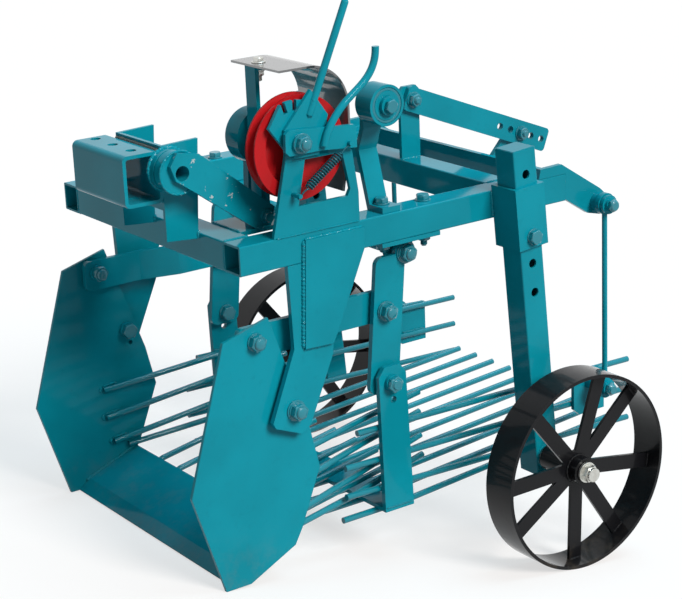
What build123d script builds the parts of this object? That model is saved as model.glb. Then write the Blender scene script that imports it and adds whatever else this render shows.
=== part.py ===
from build123d import *
import os
from math import asin, atan2, cos, hypot, sin

os.makedirs("parts", exist_ok=True)

# A potato digger that a two-wheeled tractor pulls.
# All places are given in the rails' own frame: x to the machine's left, y rearward along the rails
# from their front ends, z up from the rails' top faces. The machine stands with its rails rising
# to the rear, so that both wheels and both tips of the knife share the floor at height zero.

# frame
TUBE = 40.0
WALL = 3.0
TUBE_ROUND = 2.0
RAIL_IN = 200.0
RAIL_OUT = RAIL_IN + TUBE
RAIL_LENGTH = 555.0
MID_BEAM_Y = RAIL_LENGTH - 115.0
REAR_BAR_THICK = 8.0
FLAT = 8.0
GUSSET_THICK = 5.0
LEG_IN = RAIL_OUT - FLAT

# clearances
GAP = 5.0
FACE_GAP = 1.0
RUNNING_FIT = 0.05
OPEN_FIT = 0.8
SEAT = 0.1

# wheels
WHEEL_RADIUS = 144.5
WHEEL_WIDTH = 53.0
RIM_THICK = 5.0
WHEEL_Y = 476.0
WHEEL_Z = -399.0
POST_IN = 246.0
POST_OUT = POST_IN + TUBE
POST_LEAN = 0.0818
POST_TOP = 64.0
POST_BOTTOM = -425.0
SLEEVE_WALL = 6.0
SLEEVE_TOP = 11.0
SLEEVE_BOTTOM = -78.0
AXLE_RADIUS = 10.0
HUB_RADIUS = 20.0
HUB_IN = POST_OUT + 6.0
HUB_OUT = HUB_IN + 75.0
WHEEL_IN = 321.0
SPOKE_ANGLES = (71.0, 41.0, -10.0, -56.0, -92.0, -148.0, 180.0, 129.0)

# knife
PLATE_IN = 220.0
PLATE_THICK = 5.0
PLATE_OUT = PLATE_IN + PLATE_THICK
TIP_Y = -42.0
TIP_Z = -476.6
BLADE_THICK = 7.0
PIN_RADIUS = 8.0
BOSS_RADIUS = 12.0
ROD_RADIUS = 4.5

# pivots of the shaking linkage, as (y, z)
KNIFE_PIVOT = (73.5, -240.0)
LINK_FRONT = (25.0, -136.5)
LINK_REAR = (247.0, -145.0)
ROCKER_PIVOT = (284.0, -68.0)
GRATE_PIVOT = (243.0, -246.0)
HANGER_TOP = (RAIL_LENGTH + 61.0, -52.0)
HANGER_FOOT = (RAIL_LENGTH + 62.0, -336.0)

ROCKER_SHAFT_RADIUS = 10.0
ROCKER_EAR_RADIUS = 17.0
ROCKER_IN = 205.0
ROCKER_OUT = ROCKER_IN + FLAT
GRATE_IN = ROCKER_OUT + GAP
GRATE_OUT = GRATE_IN + FLAT
LINK_OUT = PLATE_IN - GAP
LINK_SHIFT = 15.0
LINK_HEIGHT = 45.0
HANGER_IN = RAIL_OUT + 12.0
HANGER_WIDTH = 8.0
REAR_SHAFT_RADIUS = 10.0

# drive
DRIVE_AXIS = (108.0, 111.0)
PULLEY_RADIUS = 70.0
PULLEY_IN = 206.0
PULLEY_WIDTH = 22.0
SHAFT_RADIUS = 10.0
ROLLER_AXIS = (246.0, 146.0)
ROLLER_RADIUS = 28.0
ROLLER_IN = 200.0
ROLLER_WIDTH = 34.0

# stance of the whole machine
REACH = WHEEL_Y - TIP_Y
RISE = WHEEL_Z - TIP_Z
PITCH = asin(WHEEL_RADIUS / hypot(REACH, RISE)) - atan2(RISE, REACH)
SIN = sin(PITCH)
COS = cos(PITCH)
LIFT = WHEEL_RADIUS - WHEEL_Y * SIN - WHEEL_Z * COS
# the model's origin is on the floor below the middle of the machine's length
MIDDLE = 316.66

HANDS = (("left", 1), ("right", -1))


def at(x, y, z):
    """A point of the rails' frame, as it stands."""
    return (x, y * COS - z * SIN - MIDDLE, y * SIN + z * COS + LIFT)


def side(x):
    """Plane across the machine at x, drawn in y and z, facing left."""
    return Plane(origin=at(x, 0, 0), x_dir=(0, COS, SIN), z_dir=(1, 0, 0))


def top(z):
    """Plane along the rails at height z, drawn in x and y, facing up."""
    return Plane(origin=at(0, 0, z), x_dir=(1, 0, 0), z_dir=(0, -SIN, COS))


def front(y):
    """Upright plane at y, drawn in x and z, facing forward."""
    return Plane(origin=at(0, y, 0), x_dir=(1, 0, 0), z_dir=(0, -COS, -SIN))


def wall(hand, near, far):
    """Side plane from which a piece between near and far is extruded, on either hand."""
    return side(near) if hand > 0 else side(-far)


def cross_axis(y, z):
    """Axis that runs across the machine through y and z."""
    return Axis(at(0, y, z), (1, 0, 0))


# frame: rails and cross members

RAIL_BOLTS = ((214.0, 246.0), (214.0, 316.0))
for hand, s in HANDS:
    with BuildPart() as rail:
        with BuildSketch(front(0)):
            with Locations((s * (RAIL_IN + TUBE / 2), -TUBE / 2)):
                RectangleRounded(TUBE, TUBE, TUBE_ROUND)
                Rectangle(TUBE - 2 * WALL, TUBE - 2 * WALL, mode=Mode.SUBTRACT)
        extrude(amount=-RAIL_LENGTH)
        with BuildSketch(top(-TUBE)):
            with Locations(*[(s * x, y) for x, y in RAIL_BOLTS]):
                Circle(5.5)
        extrude(amount=TUBE, mode=Mode.SUBTRACT)
    rail.part.label = "rail_" + hand
    export_step(rail.part, "parts/rail_" + hand + ".step")

# name, front face
BEAMS = (("front_crossbeam", 0.0), ("mid_crossbeam", MID_BEAM_Y))
for name, y in BEAMS:
    with BuildPart() as beam:
        with BuildSketch(side(-RAIL_IN)):
            with Locations((y + TUBE / 2, -TUBE / 2)):
                RectangleRounded(TUBE, TUBE, TUBE_ROUND)
                Rectangle(TUBE - 2 * WALL, TUBE - 2 * WALL, mode=Mode.SUBTRACT)
        extrude(amount=2 * RAIL_IN)
    beam.part.label = name
    export_step(beam.part, "parts/" + name + ".step")

with BuildPart() as rear_crossbar:
    with BuildSketch(side(-RAIL_IN)):
        with Locations((RAIL_LENGTH - REAR_BAR_THICK / 2, -TUBE / 2)):
            Rectangle(REAR_BAR_THICK, TUBE)
    extrude(amount=2 * RAIL_IN)
rear_crossbar.part.label = "rear_crossbar"
export_step(rear_crossbar.part, "parts/rear_crossbar.step")

# hitch: drawbar tube on a channel at the front crossbeam, off centre to the left

HITCH_Y = -48.0
HITCH_DEPTH = 57.0
HITCH_HEIGHT = 69.0
HITCH_BASE = 50.0
HITCH_ENDS = (5.0, 140.0)
HITCH_HOLES = (18.0, 65.0, 113.0)
HITCH_WALL = 5.0
with BuildPart() as hitch_tube:
    with BuildSketch(side(HITCH_ENDS[0])):
        with Locations((HITCH_Y - HITCH_DEPTH / 2, HITCH_BASE + HITCH_HEIGHT / 2)):
            RectangleRounded(HITCH_DEPTH, HITCH_HEIGHT, 8)
            RectangleRounded(HITCH_DEPTH - 2 * HITCH_WALL, HITCH_HEIGHT - 2 * HITCH_WALL, 3, mode=Mode.SUBTRACT)
    extrude(amount=HITCH_ENDS[1] - HITCH_ENDS[0])
    with BuildSketch(top(HITCH_BASE)):
        with Locations(*[(x, HITCH_Y - HITCH_DEPTH / 2) for x in HITCH_HOLES]):
            Circle(7)
    extrude(amount=HITCH_HEIGHT, mode=Mode.SUBTRACT)
hitch_tube.part.label = "hitch_tube"
export_step(hitch_tube.part, "parts/hitch_tube.step")

CHANNEL_IN = 22.0
with BuildPart() as hitch_channel:
    for x in (CHANNEL_IN, HITCH_ENDS[1] - HITCH_WALL):
        with BuildSketch(side(x)):
            Polygon((-48, 124), (-48, -4), (0, -8), (0, 0), (8, 126), align=None)
        extrude(amount=HITCH_WALL)
    with BuildSketch(front(HITCH_Y)):
        with Locations(((CHANNEL_IN + HITCH_ENDS[1]) / 2, 81)):
            Rectangle(HITCH_ENDS[1] - CHANNEL_IN, 86)
    extrude(amount=-HITCH_WALL)
hitch_channel.part.label = "hitch_channel"
export_step(hitch_channel.part, "parts/hitch_channel.step")

BUSH = (-40.0, 93.0)
with BuildPart() as hitch_bush:
    with BuildSketch(side(HITCH_ENDS[1])):
        with Locations(BUSH):
            Circle(28)
            Circle(10, mode=Mode.SUBTRACT)
    extrude(amount=30)
    with BuildSketch(side(HITCH_ENDS[1] + 12)):
        with Locations(BUSH):
            Circle(30)
            Circle(25, mode=Mode.SUBTRACT)
    extrude(amount=2.5, mode=Mode.SUBTRACT)
hitch_bush.part.label = "hitch_bush"
export_step(hitch_bush.part, "parts/hitch_bush.step")

with BuildPart() as hitch_brace:
    with BuildSketch(side(170)):
        Polygon(
            (-50, 84), (-57, 104), (-46, 121), (-14, 115), (97, 25), (90, 0), (66, 0), (-17, 61), (-41, 78),
            align=None,
        )
        with Locations(BUSH):
            Circle(10, mode=Mode.SUBTRACT)
    extrude(amount=FLAT)
    with BuildSketch(side(170 + FLAT)):
        with Locations((83.5, 14)):
            Circle(10)
    extrude(amount=4)
hitch_brace.part.label = "hitch_brace"
export_step(hitch_brace.part, "parts/hitch_brace.step")

# legs that carry the knife

for hand, s in HANDS:
    with BuildPart() as knife_leg:
        with BuildSketch(wall(s, LEG_IN, RAIL_OUT)):
            Polygon(
                (72, -40), (76, -155), (37, -251), (41, -259), (82, -276), (97, -266), (138, -175),
                (150, -40), align=None,
            )
        extrude(amount=FLAT)
        # gusset over the rail's outer face and the strap
        with BuildSketch(wall(s, RAIL_OUT, RAIL_OUT + GUSSET_THICK)):
            Polygon((99, -9), (91, -157), (136, -159), (143, -147), (193, -37), (194, -9), align=None)
        extrude(amount=GUSSET_THICK)
        # pivot pin of the knife, with its shoulder and its collar
        with BuildSketch(wall(s, PLATE_OUT + FACE_GAP, LEG_IN)):
            with Locations(KNIFE_PIVOT):
                Circle(BOSS_RADIUS)
        extrude(amount=LEG_IN - PLATE_OUT - FACE_GAP)
        with BuildSketch(wall(s, PLATE_IN - 6, LEG_IN)):
            with Locations(KNIFE_PIVOT):
                Circle(PIN_RADIUS)
        extrude(amount=LEG_IN - PLATE_IN + 6)
        with BuildSketch(wall(s, PLATE_IN - 6, PLATE_IN - FACE_GAP)):
            with Locations(KNIFE_PIVOT):
                Circle(BOSS_RADIUS)
        extrude(amount=6 - FACE_GAP)
    knife_leg.part.label = "knife_leg_" + hand
    export_step(knife_leg.part, "parts/knife_leg_" + hand + ".step")

# knife: two hanging plates, the blade between them and the rods behind it

PLATE_OUTLINE = (
    (46.5, -108), (-24.5, -128), (-86, -330), (TIP_Y, TIP_Z), (-2.5, TIP_Z), (28, -462),
    (72, -441), (85, -418), (118, -337), (104, -275.5), (71, -179),
)
for hand, s in HANDS:
    with BuildPart() as knife_plate:
        with BuildSketch(wall(s, PLATE_IN, PLATE_OUT)):
            Polygon(*PLATE_OUTLINE, align=None)
            with Locations(KNIFE_PIVOT):
                Circle(PIN_RADIUS + RUNNING_FIT, mode=Mode.SUBTRACT)
            with Locations((79, -262)):
                Circle(3.5, mode=Mode.SUBTRACT)
        extrude(amount=PLATE_THICK)
        # pin for the drive link, with its shoulder and its collar
        with BuildSketch(wall(s, LINK_OUT - FLAT - 6, PLATE_IN)):
            with Locations(LINK_FRONT):
                Circle(PIN_RADIUS)
        extrude(amount=PLATE_IN - LINK_OUT + FLAT + 6)
        with BuildSketch(wall(s, LINK_OUT + FACE_GAP, PLATE_IN)):
            with Locations(LINK_FRONT):
                Circle(BOSS_RADIUS)
        extrude(amount=PLATE_IN - LINK_OUT - FACE_GAP)
        with BuildSketch(wall(s, LINK_OUT - FLAT - 6, LINK_OUT - FLAT - FACE_GAP)):
            with Locations(LINK_FRONT):
                Circle(BOSS_RADIUS)
        extrude(amount=6 - FACE_GAP)
    knife_plate.part.label = "knife_plate_" + hand
    export_step(knife_plate.part, "parts/knife_plate_" + hand + ".step")

# the blade rises to the rear; its section runs from the edge along its underside
BLADE_EDGE = (-28.0, -476.5)
BLADE_RUN = (0.928, 0.371)
BLADE_LENGTH = 113.0
BEVEL = 22.0


def on_blade(along, above):
    """Place at a distance along the blade's underside and above it."""
    return (
        BLADE_EDGE[0] + along * BLADE_RUN[0] - above * BLADE_RUN[1],
        BLADE_EDGE[1] + along * BLADE_RUN[1] + above * BLADE_RUN[0],
    )


with BuildPart() as knife_blade:
    with BuildSketch(side(-PLATE_IN)):
        Polygon(
            on_blade(0, 0), on_blade(BLADE_LENGTH, 0), on_blade(BLADE_LENGTH, BLADE_THICK),
            on_blade(BEVEL, BLADE_THICK), align=None,
        )
    extrude(amount=2 * PLATE_IN)
knife_blade.part.label = "knife_blade"
export_step(knife_blade.part, "parts/knife_blade.step")

# front y, front z, bend y, bend z, rear y, rear z
KNIFE_SIDE_RODS = (
    (25.0, -326.0, 237.0, -303.0, 330.0, -296.0),
    (26.0, -371.0, 215.0, -341.0, 330.0, -326.0),
    (36.0, -412.0, 199.0, -384.0, 330.0, -362.0),
    (60.0, -422.5, 186.0, -411.0, 330.0, -391.0),
)
KNIFE_TAPER = 0.14
KNIFE_ROD_COUNT = 7
KNIFE_ROD_PITCH = 53.0
KNIFE_ROD_END = (300.0, -398.0)
with BuildPart() as knife_rods:
    for hand, s in HANDS:
        for y0, z0, y1, z1, y2, z2 in KNIFE_SIDE_RODS:
            x0 = PLATE_IN - ROD_RADIUS - 2 * SEAT
            with BuildLine() as run:
                Polyline(
                    at(s * x0, y0, z0), at(s * (x0 - KNIFE_TAPER * (y1 - y0)), y1, z1),
                    at(s * (x0 - KNIFE_TAPER * (y2 - y0)), y2, z2),
                )
            with BuildSketch(Plane(origin=run.line @ 0, z_dir=run.line % 0)):
                Circle(ROD_RADIUS)
            sweep(transition=Transition.RIGHT)
    # rods that start flat under the blade
    for i in range(KNIFE_ROD_COUNT):
        x = (i - (KNIFE_ROD_COUNT - 1) / 2) * KNIFE_ROD_PITCH
        lie = -ROD_RADIUS - SEAT
        with BuildLine() as run:
            Polyline(
                at(x, *on_blade(72, lie)), at(x, *on_blade(122, lie)), at(x, *KNIFE_ROD_END),
            )
        with BuildSketch(Plane(origin=run.line @ 0, z_dir=run.line % 0)):
            Circle(ROD_RADIUS)
        sweep(transition=Transition.RIGHT)
knife_rods.part.label = "knife_rods"
export_step(knife_rods.part, "parts/knife_rods.step")

# rocker: a cross shaft with two hanging straps, driven fore and aft

BRACE_IN = ROCKER_IN - FLAT - 7.0
for hand, s in HANDS:
    with BuildPart() as rocker_bracket:
        with BuildSketch(top(-TUBE - 6)):
            with Locations((s * (RAIL_OUT + BRACE_IN) / 2, 275.5)):
                Rectangle(RAIL_OUT - BRACE_IN, 99)
            with Locations(*[(s * x, y) for x, y in RAIL_BOLTS]):
                Circle(5.5, mode=Mode.SUBTRACT)
        extrude(amount=6)
        with BuildSketch(wall(s, BRACE_IN, BRACE_IN + FLAT)):
            Polygon(
                (256, -46), (312, -46), (305, -74), (294, -88), (274, -88), (263, -74), align=None,
            )
            with Locations(ROCKER_PIVOT):
                Circle(ROCKER_SHAFT_RADIUS + RUNNING_FIT, mode=Mode.SUBTRACT)
        extrude(amount=FLAT)
    rocker_bracket.part.label = "rocker_bracket_" + hand
    export_step(rocker_bracket.part, "parts/rocker_bracket_" + hand + ".step")

with BuildPart() as rocker_shaft:
    with BuildSketch(side(-ROCKER_OUT - 8)):
        with Locations(ROCKER_PIVOT):
            Circle(ROCKER_SHAFT_RADIUS)
    extrude(amount=2 * (ROCKER_OUT + 8))
rocker_shaft.part.label = "rocker_shaft"
export_step(rocker_shaft.part, "parts/rocker_shaft.step")

LINK_SLIM_OUT = LINK_OUT - LINK_SHIFT
LINK_START = LINK_FRONT[0] - 20.0
LINK_STOP = LINK_REAR[0] + 20.0
for hand, s in HANDS:
    with BuildPart() as rocker_strap:
        with BuildSketch(wall(s, ROCKER_IN, ROCKER_OUT)):
            Polygon((234, -68), (284, -68), (265, -264), (215, -264), align=None)
            fillet(vertices(), radius=12)
            with Locations(ROCKER_PIVOT):
                Circle(ROCKER_EAR_RADIUS)
                Circle(ROCKER_SHAFT_RADIUS, mode=Mode.SUBTRACT)
        extrude(amount=FLAT)
        # inner pin for the drive link
        with BuildSketch(wall(s, LINK_SLIM_OUT + FACE_GAP, ROCKER_IN)):
            with Locations(LINK_REAR):
                Circle(BOSS_RADIUS)
        extrude(amount=ROCKER_IN - LINK_SLIM_OUT - FACE_GAP)
        with BuildSketch(wall(s, LINK_SLIM_OUT - FLAT - 6, ROCKER_IN)):
            with Locations(LINK_REAR):
                Circle(PIN_RADIUS)
        extrude(amount=ROCKER_IN - LINK_SLIM_OUT + FLAT + 6)
        with BuildSketch(wall(s, LINK_SLIM_OUT - FLAT - 6, LINK_SLIM_OUT - FLAT - FACE_GAP)):
            with Locations(LINK_REAR):
                Circle(BOSS_RADIUS)
        extrude(amount=6 - FACE_GAP)
        # outer pin for the grate
        with BuildSketch(wall(s, ROCKER_OUT, GRATE_IN - FACE_GAP)):
            with Locations(GRATE_PIVOT):
                Circle(BOSS_RADIUS)
        extrude(amount=GRATE_IN - FACE_GAP - ROCKER_OUT)
        with BuildSketch(wall(s, ROCKER_OUT, GRATE_OUT + 6)):
            with Locations(GRATE_PIVOT):
                Circle(PIN_RADIUS)
        extrude(amount=GRATE_OUT + 6 - ROCKER_OUT)
        with BuildSketch(wall(s, GRATE_OUT + FACE_GAP, GRATE_OUT + 6)):
            with Locations(GRATE_PIVOT):
                Circle(BOSS_RADIUS)
        extrude(amount=6 - FACE_GAP)
    rocker_strap.part.label = "rocker_strap_" + hand
    export_step(rocker_strap.part, "parts/rocker_strap_" + hand + ".step")

    # drive link from the knife plate back to the strap, cranked inward on its way
    with BuildPart() as drive_link:
        with BuildSketch(top((LINK_FRONT[1] + LINK_REAR[1]) / 2 - LINK_HEIGHT / 2)):
            Polygon(
                (s * LINK_OUT, LINK_START), (s * LINK_OUT, 100), (s * LINK_SLIM_OUT, 160),
                (s * LINK_SLIM_OUT, LINK_STOP), (s * (LINK_SLIM_OUT - FLAT), LINK_STOP),
                (s * (LINK_SLIM_OUT - FLAT), 158), (s * (LINK_OUT - FLAT), 98),
                (s * (LINK_OUT - FLAT), LINK_START), align=None,
            )
        extrude(amount=LINK_HEIGHT)
        fillet(drive_link.edges().filter_by(Axis.X), radius=9)
        with BuildSketch(wall(s, LINK_SLIM_OUT - 2 * FLAT, LINK_OUT + FLAT)):
            with Locations(LINK_FRONT):
                Circle(PIN_RADIUS + RUNNING_FIT)
            with Locations(LINK_REAR):
                Circle(PIN_RADIUS + OPEN_FIT)
        extrude(amount=LINK_SHIFT + 3 * FLAT, mode=Mode.SUBTRACT)
    drive_link.part.label = "drive_link_" + hand
    export_step(drive_link.part, "parts/drive_link_" + hand + ".step")

# grate: side bars on a cross bar, with the rods that let the soil fall

CROSS_BAR_TOP = -432.0
CROSS_BAR_THICK = 6.0
for hand, s in HANDS:
    with BuildPart() as grate_side_bar:
        with BuildSketch(wall(s, GRATE_IN, GRATE_OUT)):
            Polygon(
                (222, -236), (232, -222), (259, -222), (269, -236), (276, CROSS_BAR_TOP),
                (226, CROSS_BAR_TOP), align=None,
            )
            with Locations(GRATE_PIVOT):
                Circle(PIN_RADIUS + RUNNING_FIT, mode=Mode.SUBTRACT)
            with Locations((246, -272)):
                Circle(5, mode=Mode.SUBTRACT)
        extrude(amount=FLAT)
    grate_side_bar.part.label = "grate_side_bar_" + hand
    export_step(grate_side_bar.part, "parts/grate_side_bar_" + hand + ".step")

with BuildPart() as grate_cross_bar:
    with BuildSketch(top(CROSS_BAR_TOP - CROSS_BAR_THICK)):
        with Locations((0, 251)):
            Rectangle(2 * GRATE_OUT, 50)
    extrude(amount=CROSS_BAR_THICK)
grate_cross_bar.part.label = "grate_cross_bar"
export_step(grate_cross_bar.part, "parts/grate_cross_bar.step")

GRATE_REAR_Y = RAIL_LENGTH + 148.0
# front y, front z, rear z
GRATE_SIDE_RODS = (
    (190.0, -312.0, -323.0),
    (168.0, -359.0, -370.0),
    (168.0, -402.0, -418.0),
)
GRATE_ROD_COUNT = 10
GRATE_ROD_PITCH = 44.4
GRATE_ROD_REAR_Z = -412.0
with BuildPart() as grate_rods:
    for hand, s in HANDS:
        for y0, z0, z1 in GRATE_SIDE_RODS:
            x = s * (GRATE_IN - ROD_RADIUS - SEAT)
            with BuildLine() as run:
                Line(at(x, y0, z0), at(x, GRATE_REAR_Y, z1))
            with BuildSketch(Plane(origin=run.line @ 0, z_dir=run.line % 0)):
                Circle(ROD_RADIUS)
            sweep()
    # floor rods under the cross bar, rising from it to the rear
    for i in range(GRATE_ROD_COUNT):
        x = (i - (GRATE_ROD_COUNT - 1) / 2) * GRATE_ROD_PITCH
        low = CROSS_BAR_TOP - CROSS_BAR_THICK - ROD_RADIUS - SEAT
        with BuildLine() as run:
            Polyline(at(x, 170, low), at(x, 278, low), at(x, GRATE_REAR_Y, GRATE_ROD_REAR_Z))
        with BuildSketch(Plane(origin=run.line @ 0, z_dir=run.line % 0)):
            Circle(ROD_RADIUS)
        sweep(transition=Transition.RIGHT)
grate_rods.part.label = "grate_rods"
export_step(grate_rods.part, "parts/grate_rods.step")

EYE_RADIUS = 16.0
for hand, s in HANDS:
    with BuildPart() as grate_bracket:
        with BuildSketch(wall(s, GRATE_IN, GRATE_IN + 6)):
            with Locations(HANGER_FOOT):
                Polygon((-33, 22), (28, 18), (28, -48), (-22, -48), (-33, -38), align=None)
        extrude(amount=6)
        with BuildSketch(wall(s, GRATE_IN + 6, HANGER_IN - FACE_GAP)):
            with Locations(HANGER_FOOT):
                Circle(11)
        extrude(amount=HANGER_IN - FACE_GAP - GRATE_IN - 6)
        with BuildSketch(wall(s, GRATE_IN + 6, HANGER_IN + HANGER_WIDTH + 6)):
            with Locations(HANGER_FOOT):
                Circle(PIN_RADIUS)
        extrude(amount=HANGER_IN + HANGER_WIDTH - GRATE_IN)
        with BuildSketch(wall(s, HANGER_IN + HANGER_WIDTH + FACE_GAP, HANGER_IN + HANGER_WIDTH + 6)):
            with Locations(HANGER_FOOT):
                Circle(11)
        extrude(amount=6 - FACE_GAP)
    grate_bracket.part.label = "grate_bracket_" + hand
    export_step(grate_bracket.part, "parts/grate_bracket_" + hand + ".step")

    # hanger: a thin rod with an eye at each end
    with BuildPart() as rear_hanger:
        with BuildSketch(wall(s, HANGER_IN, HANGER_IN + HANGER_WIDTH)):
            with Locations(HANGER_TOP, HANGER_FOOT):
                Circle(EYE_RADIUS)
        extrude(amount=HANGER_WIDTH)
        with BuildLine() as run:
            Line(
                at(s * (HANGER_IN + HANGER_WIDTH / 2), *HANGER_TOP),
                at(s * (HANGER_IN + HANGER_WIDTH / 2), *HANGER_FOOT),
            )
        with BuildSketch(Plane(origin=run.line @ 0, z_dir=run.line % 0)):
            Circle(HANGER_WIDTH / 2)
        sweep()
        with BuildSketch(wall(s, HANGER_IN - 1, HANGER_IN + HANGER_WIDTH + 1)):
            with Locations(HANGER_TOP):
                Circle(REAR_SHAFT_RADIUS + RUNNING_FIT)
            with Locations(HANGER_FOOT):
                Circle(PIN_RADIUS + OPEN_FIT)
        extrude(amount=HANGER_WIDTH + 2, mode=Mode.SUBTRACT)
    rear_hanger.part.label = "rear_hanger_" + hand
    export_step(rear_hanger.part, "parts/rear_hanger_" + hand + ".step")

    # arm that carries the rear shaft behind the rail
    with BuildPart() as rear_arm:
        with BuildSketch(wall(s, LEG_IN, RAIL_OUT)):
            with Locations((RAIL_LENGTH, 0)):
                Polygon(
                    (-50, 0), (-47, 14), (-7, 15), (67, -33), (79, -44), (79, -60), (67, -72), (43, -66),
                    (0, -38), (0, 0), align=None,
                )
            with Locations(HANGER_TOP):
                Circle(REAR_SHAFT_RADIUS, mode=Mode.SUBTRACT)
        extrude(amount=FLAT)
    rear_arm.part.label = "rear_arm_" + hand
    export_step(rear_arm.part, "parts/rear_arm_" + hand + ".step")

# rear shaft with the crank that sets it, the bar that holds the crank, and its post

CRANK_END = (RAIL_LENGTH + 112.5, 6.0)
BUSH_RADIUS = 14.0
with BuildPart() as rear_shaft:
    with BuildSketch(side(-HANGER_IN - HANGER_WIDTH - 12)):
        with Locations(HANGER_TOP):
            Circle(REAR_SHAFT_RADIUS)
    extrude(amount=2 * (HANGER_IN + HANGER_WIDTH + 12))
    for hand, s in HANDS:
        with BuildSketch(wall(s, HANGER_IN + HANGER_WIDTH + FACE_GAP, HANGER_IN + HANGER_WIDTH + 7)):
            with Locations(HANGER_TOP):
                Circle(BUSH_RADIUS)
        extrude(amount=7 - FACE_GAP)
        # spacer between the arm and the hanger, and the collar inside the arm
        with BuildSketch(wall(s, RAIL_OUT, HANGER_IN - FACE_GAP)):
            with Locations(HANGER_TOP):
                Circle(BUSH_RADIUS)
        extrude(amount=HANGER_IN - FACE_GAP - RAIL_OUT)
        with BuildSketch(wall(s, LEG_IN - 6, LEG_IN)):
            with Locations(HANGER_TOP):
                Circle(BUSH_RADIUS)
        extrude(amount=6)
    with BuildSketch(side(-5)):
        with Locations(HANGER_TOP):
            Circle(19)
            Polygon((-14, 13), (40, 70), (64, 49), (14, -13), align=None)
        with Locations(CRANK_END):
            Circle(16)
            Circle(5.5, mode=Mode.SUBTRACT)
    extrude(amount=FLAT)
rear_shaft.part.label = "rear_shaft"
export_step(rear_shaft.part, "parts/rear_shaft.step")

BAR_TILT = -21.8
BAR_BOLT = (MID_BEAM_Y + 19.0, 90.0)
BAR_LENGTH = 294.0
BAR_HEIGHT = 37.0
BAR_STEP = 22.3
BAR_STEPS = (-2, -1, 0, 1, 2)
with BuildPart() as adjuster_bar:
    with BuildSketch(side(3)):
        with Locations(Location((CRANK_END[0], CRANK_END[1], 0), (0, 0, BAR_TILT))):
            with Locations((-90.6, 0.3)):
                RectangleRounded(BAR_LENGTH, BAR_HEIGHT, 6)
            with Locations(*[(n * BAR_STEP, 0) for n in BAR_STEPS]):
                Circle(5.5, mode=Mode.SUBTRACT)
        with Locations(BAR_BOLT):
            Circle(5.5, mode=Mode.SUBTRACT)
    extrude(amount=FLAT)
adjuster_bar.part.label = "adjuster_bar"
export_step(adjuster_bar.part, "parts/adjuster_bar.step")

with BuildPart() as centre_post:
    with BuildSketch(side(-3)):
        with Locations((MID_BEAM_Y, 0)):
            Polygon((1, 0), (1, 104), (7, 110), (30, 110), (36, 104), (36, 0), align=None)
        with Locations(BAR_BOLT):
            Circle(5.5, mode=Mode.SUBTRACT)
    extrude(amount=6)
centre_post.part.label = "centre_post"
export_step(centre_post.part, "parts/centre_post.step")

# wheels on posts that slide in sleeves

POST_Y = WHEEL_Y + WHEEL_Z * POST_LEAN
POST_HOLES = (27.0, -16.0, -62.0, -103.0, -146.0)


def along_post(x, z):
    """Plane square to the leaning post at height z, drawn in x and rearward."""
    y = POST_Y - POST_LEAN * z
    return Plane(
        origin=at(x, y, z), x_dir=(1, 0, 0),
        z_dir=(0, -POST_LEAN * COS - SIN, -POST_LEAN * SIN + COS),
    )


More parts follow.
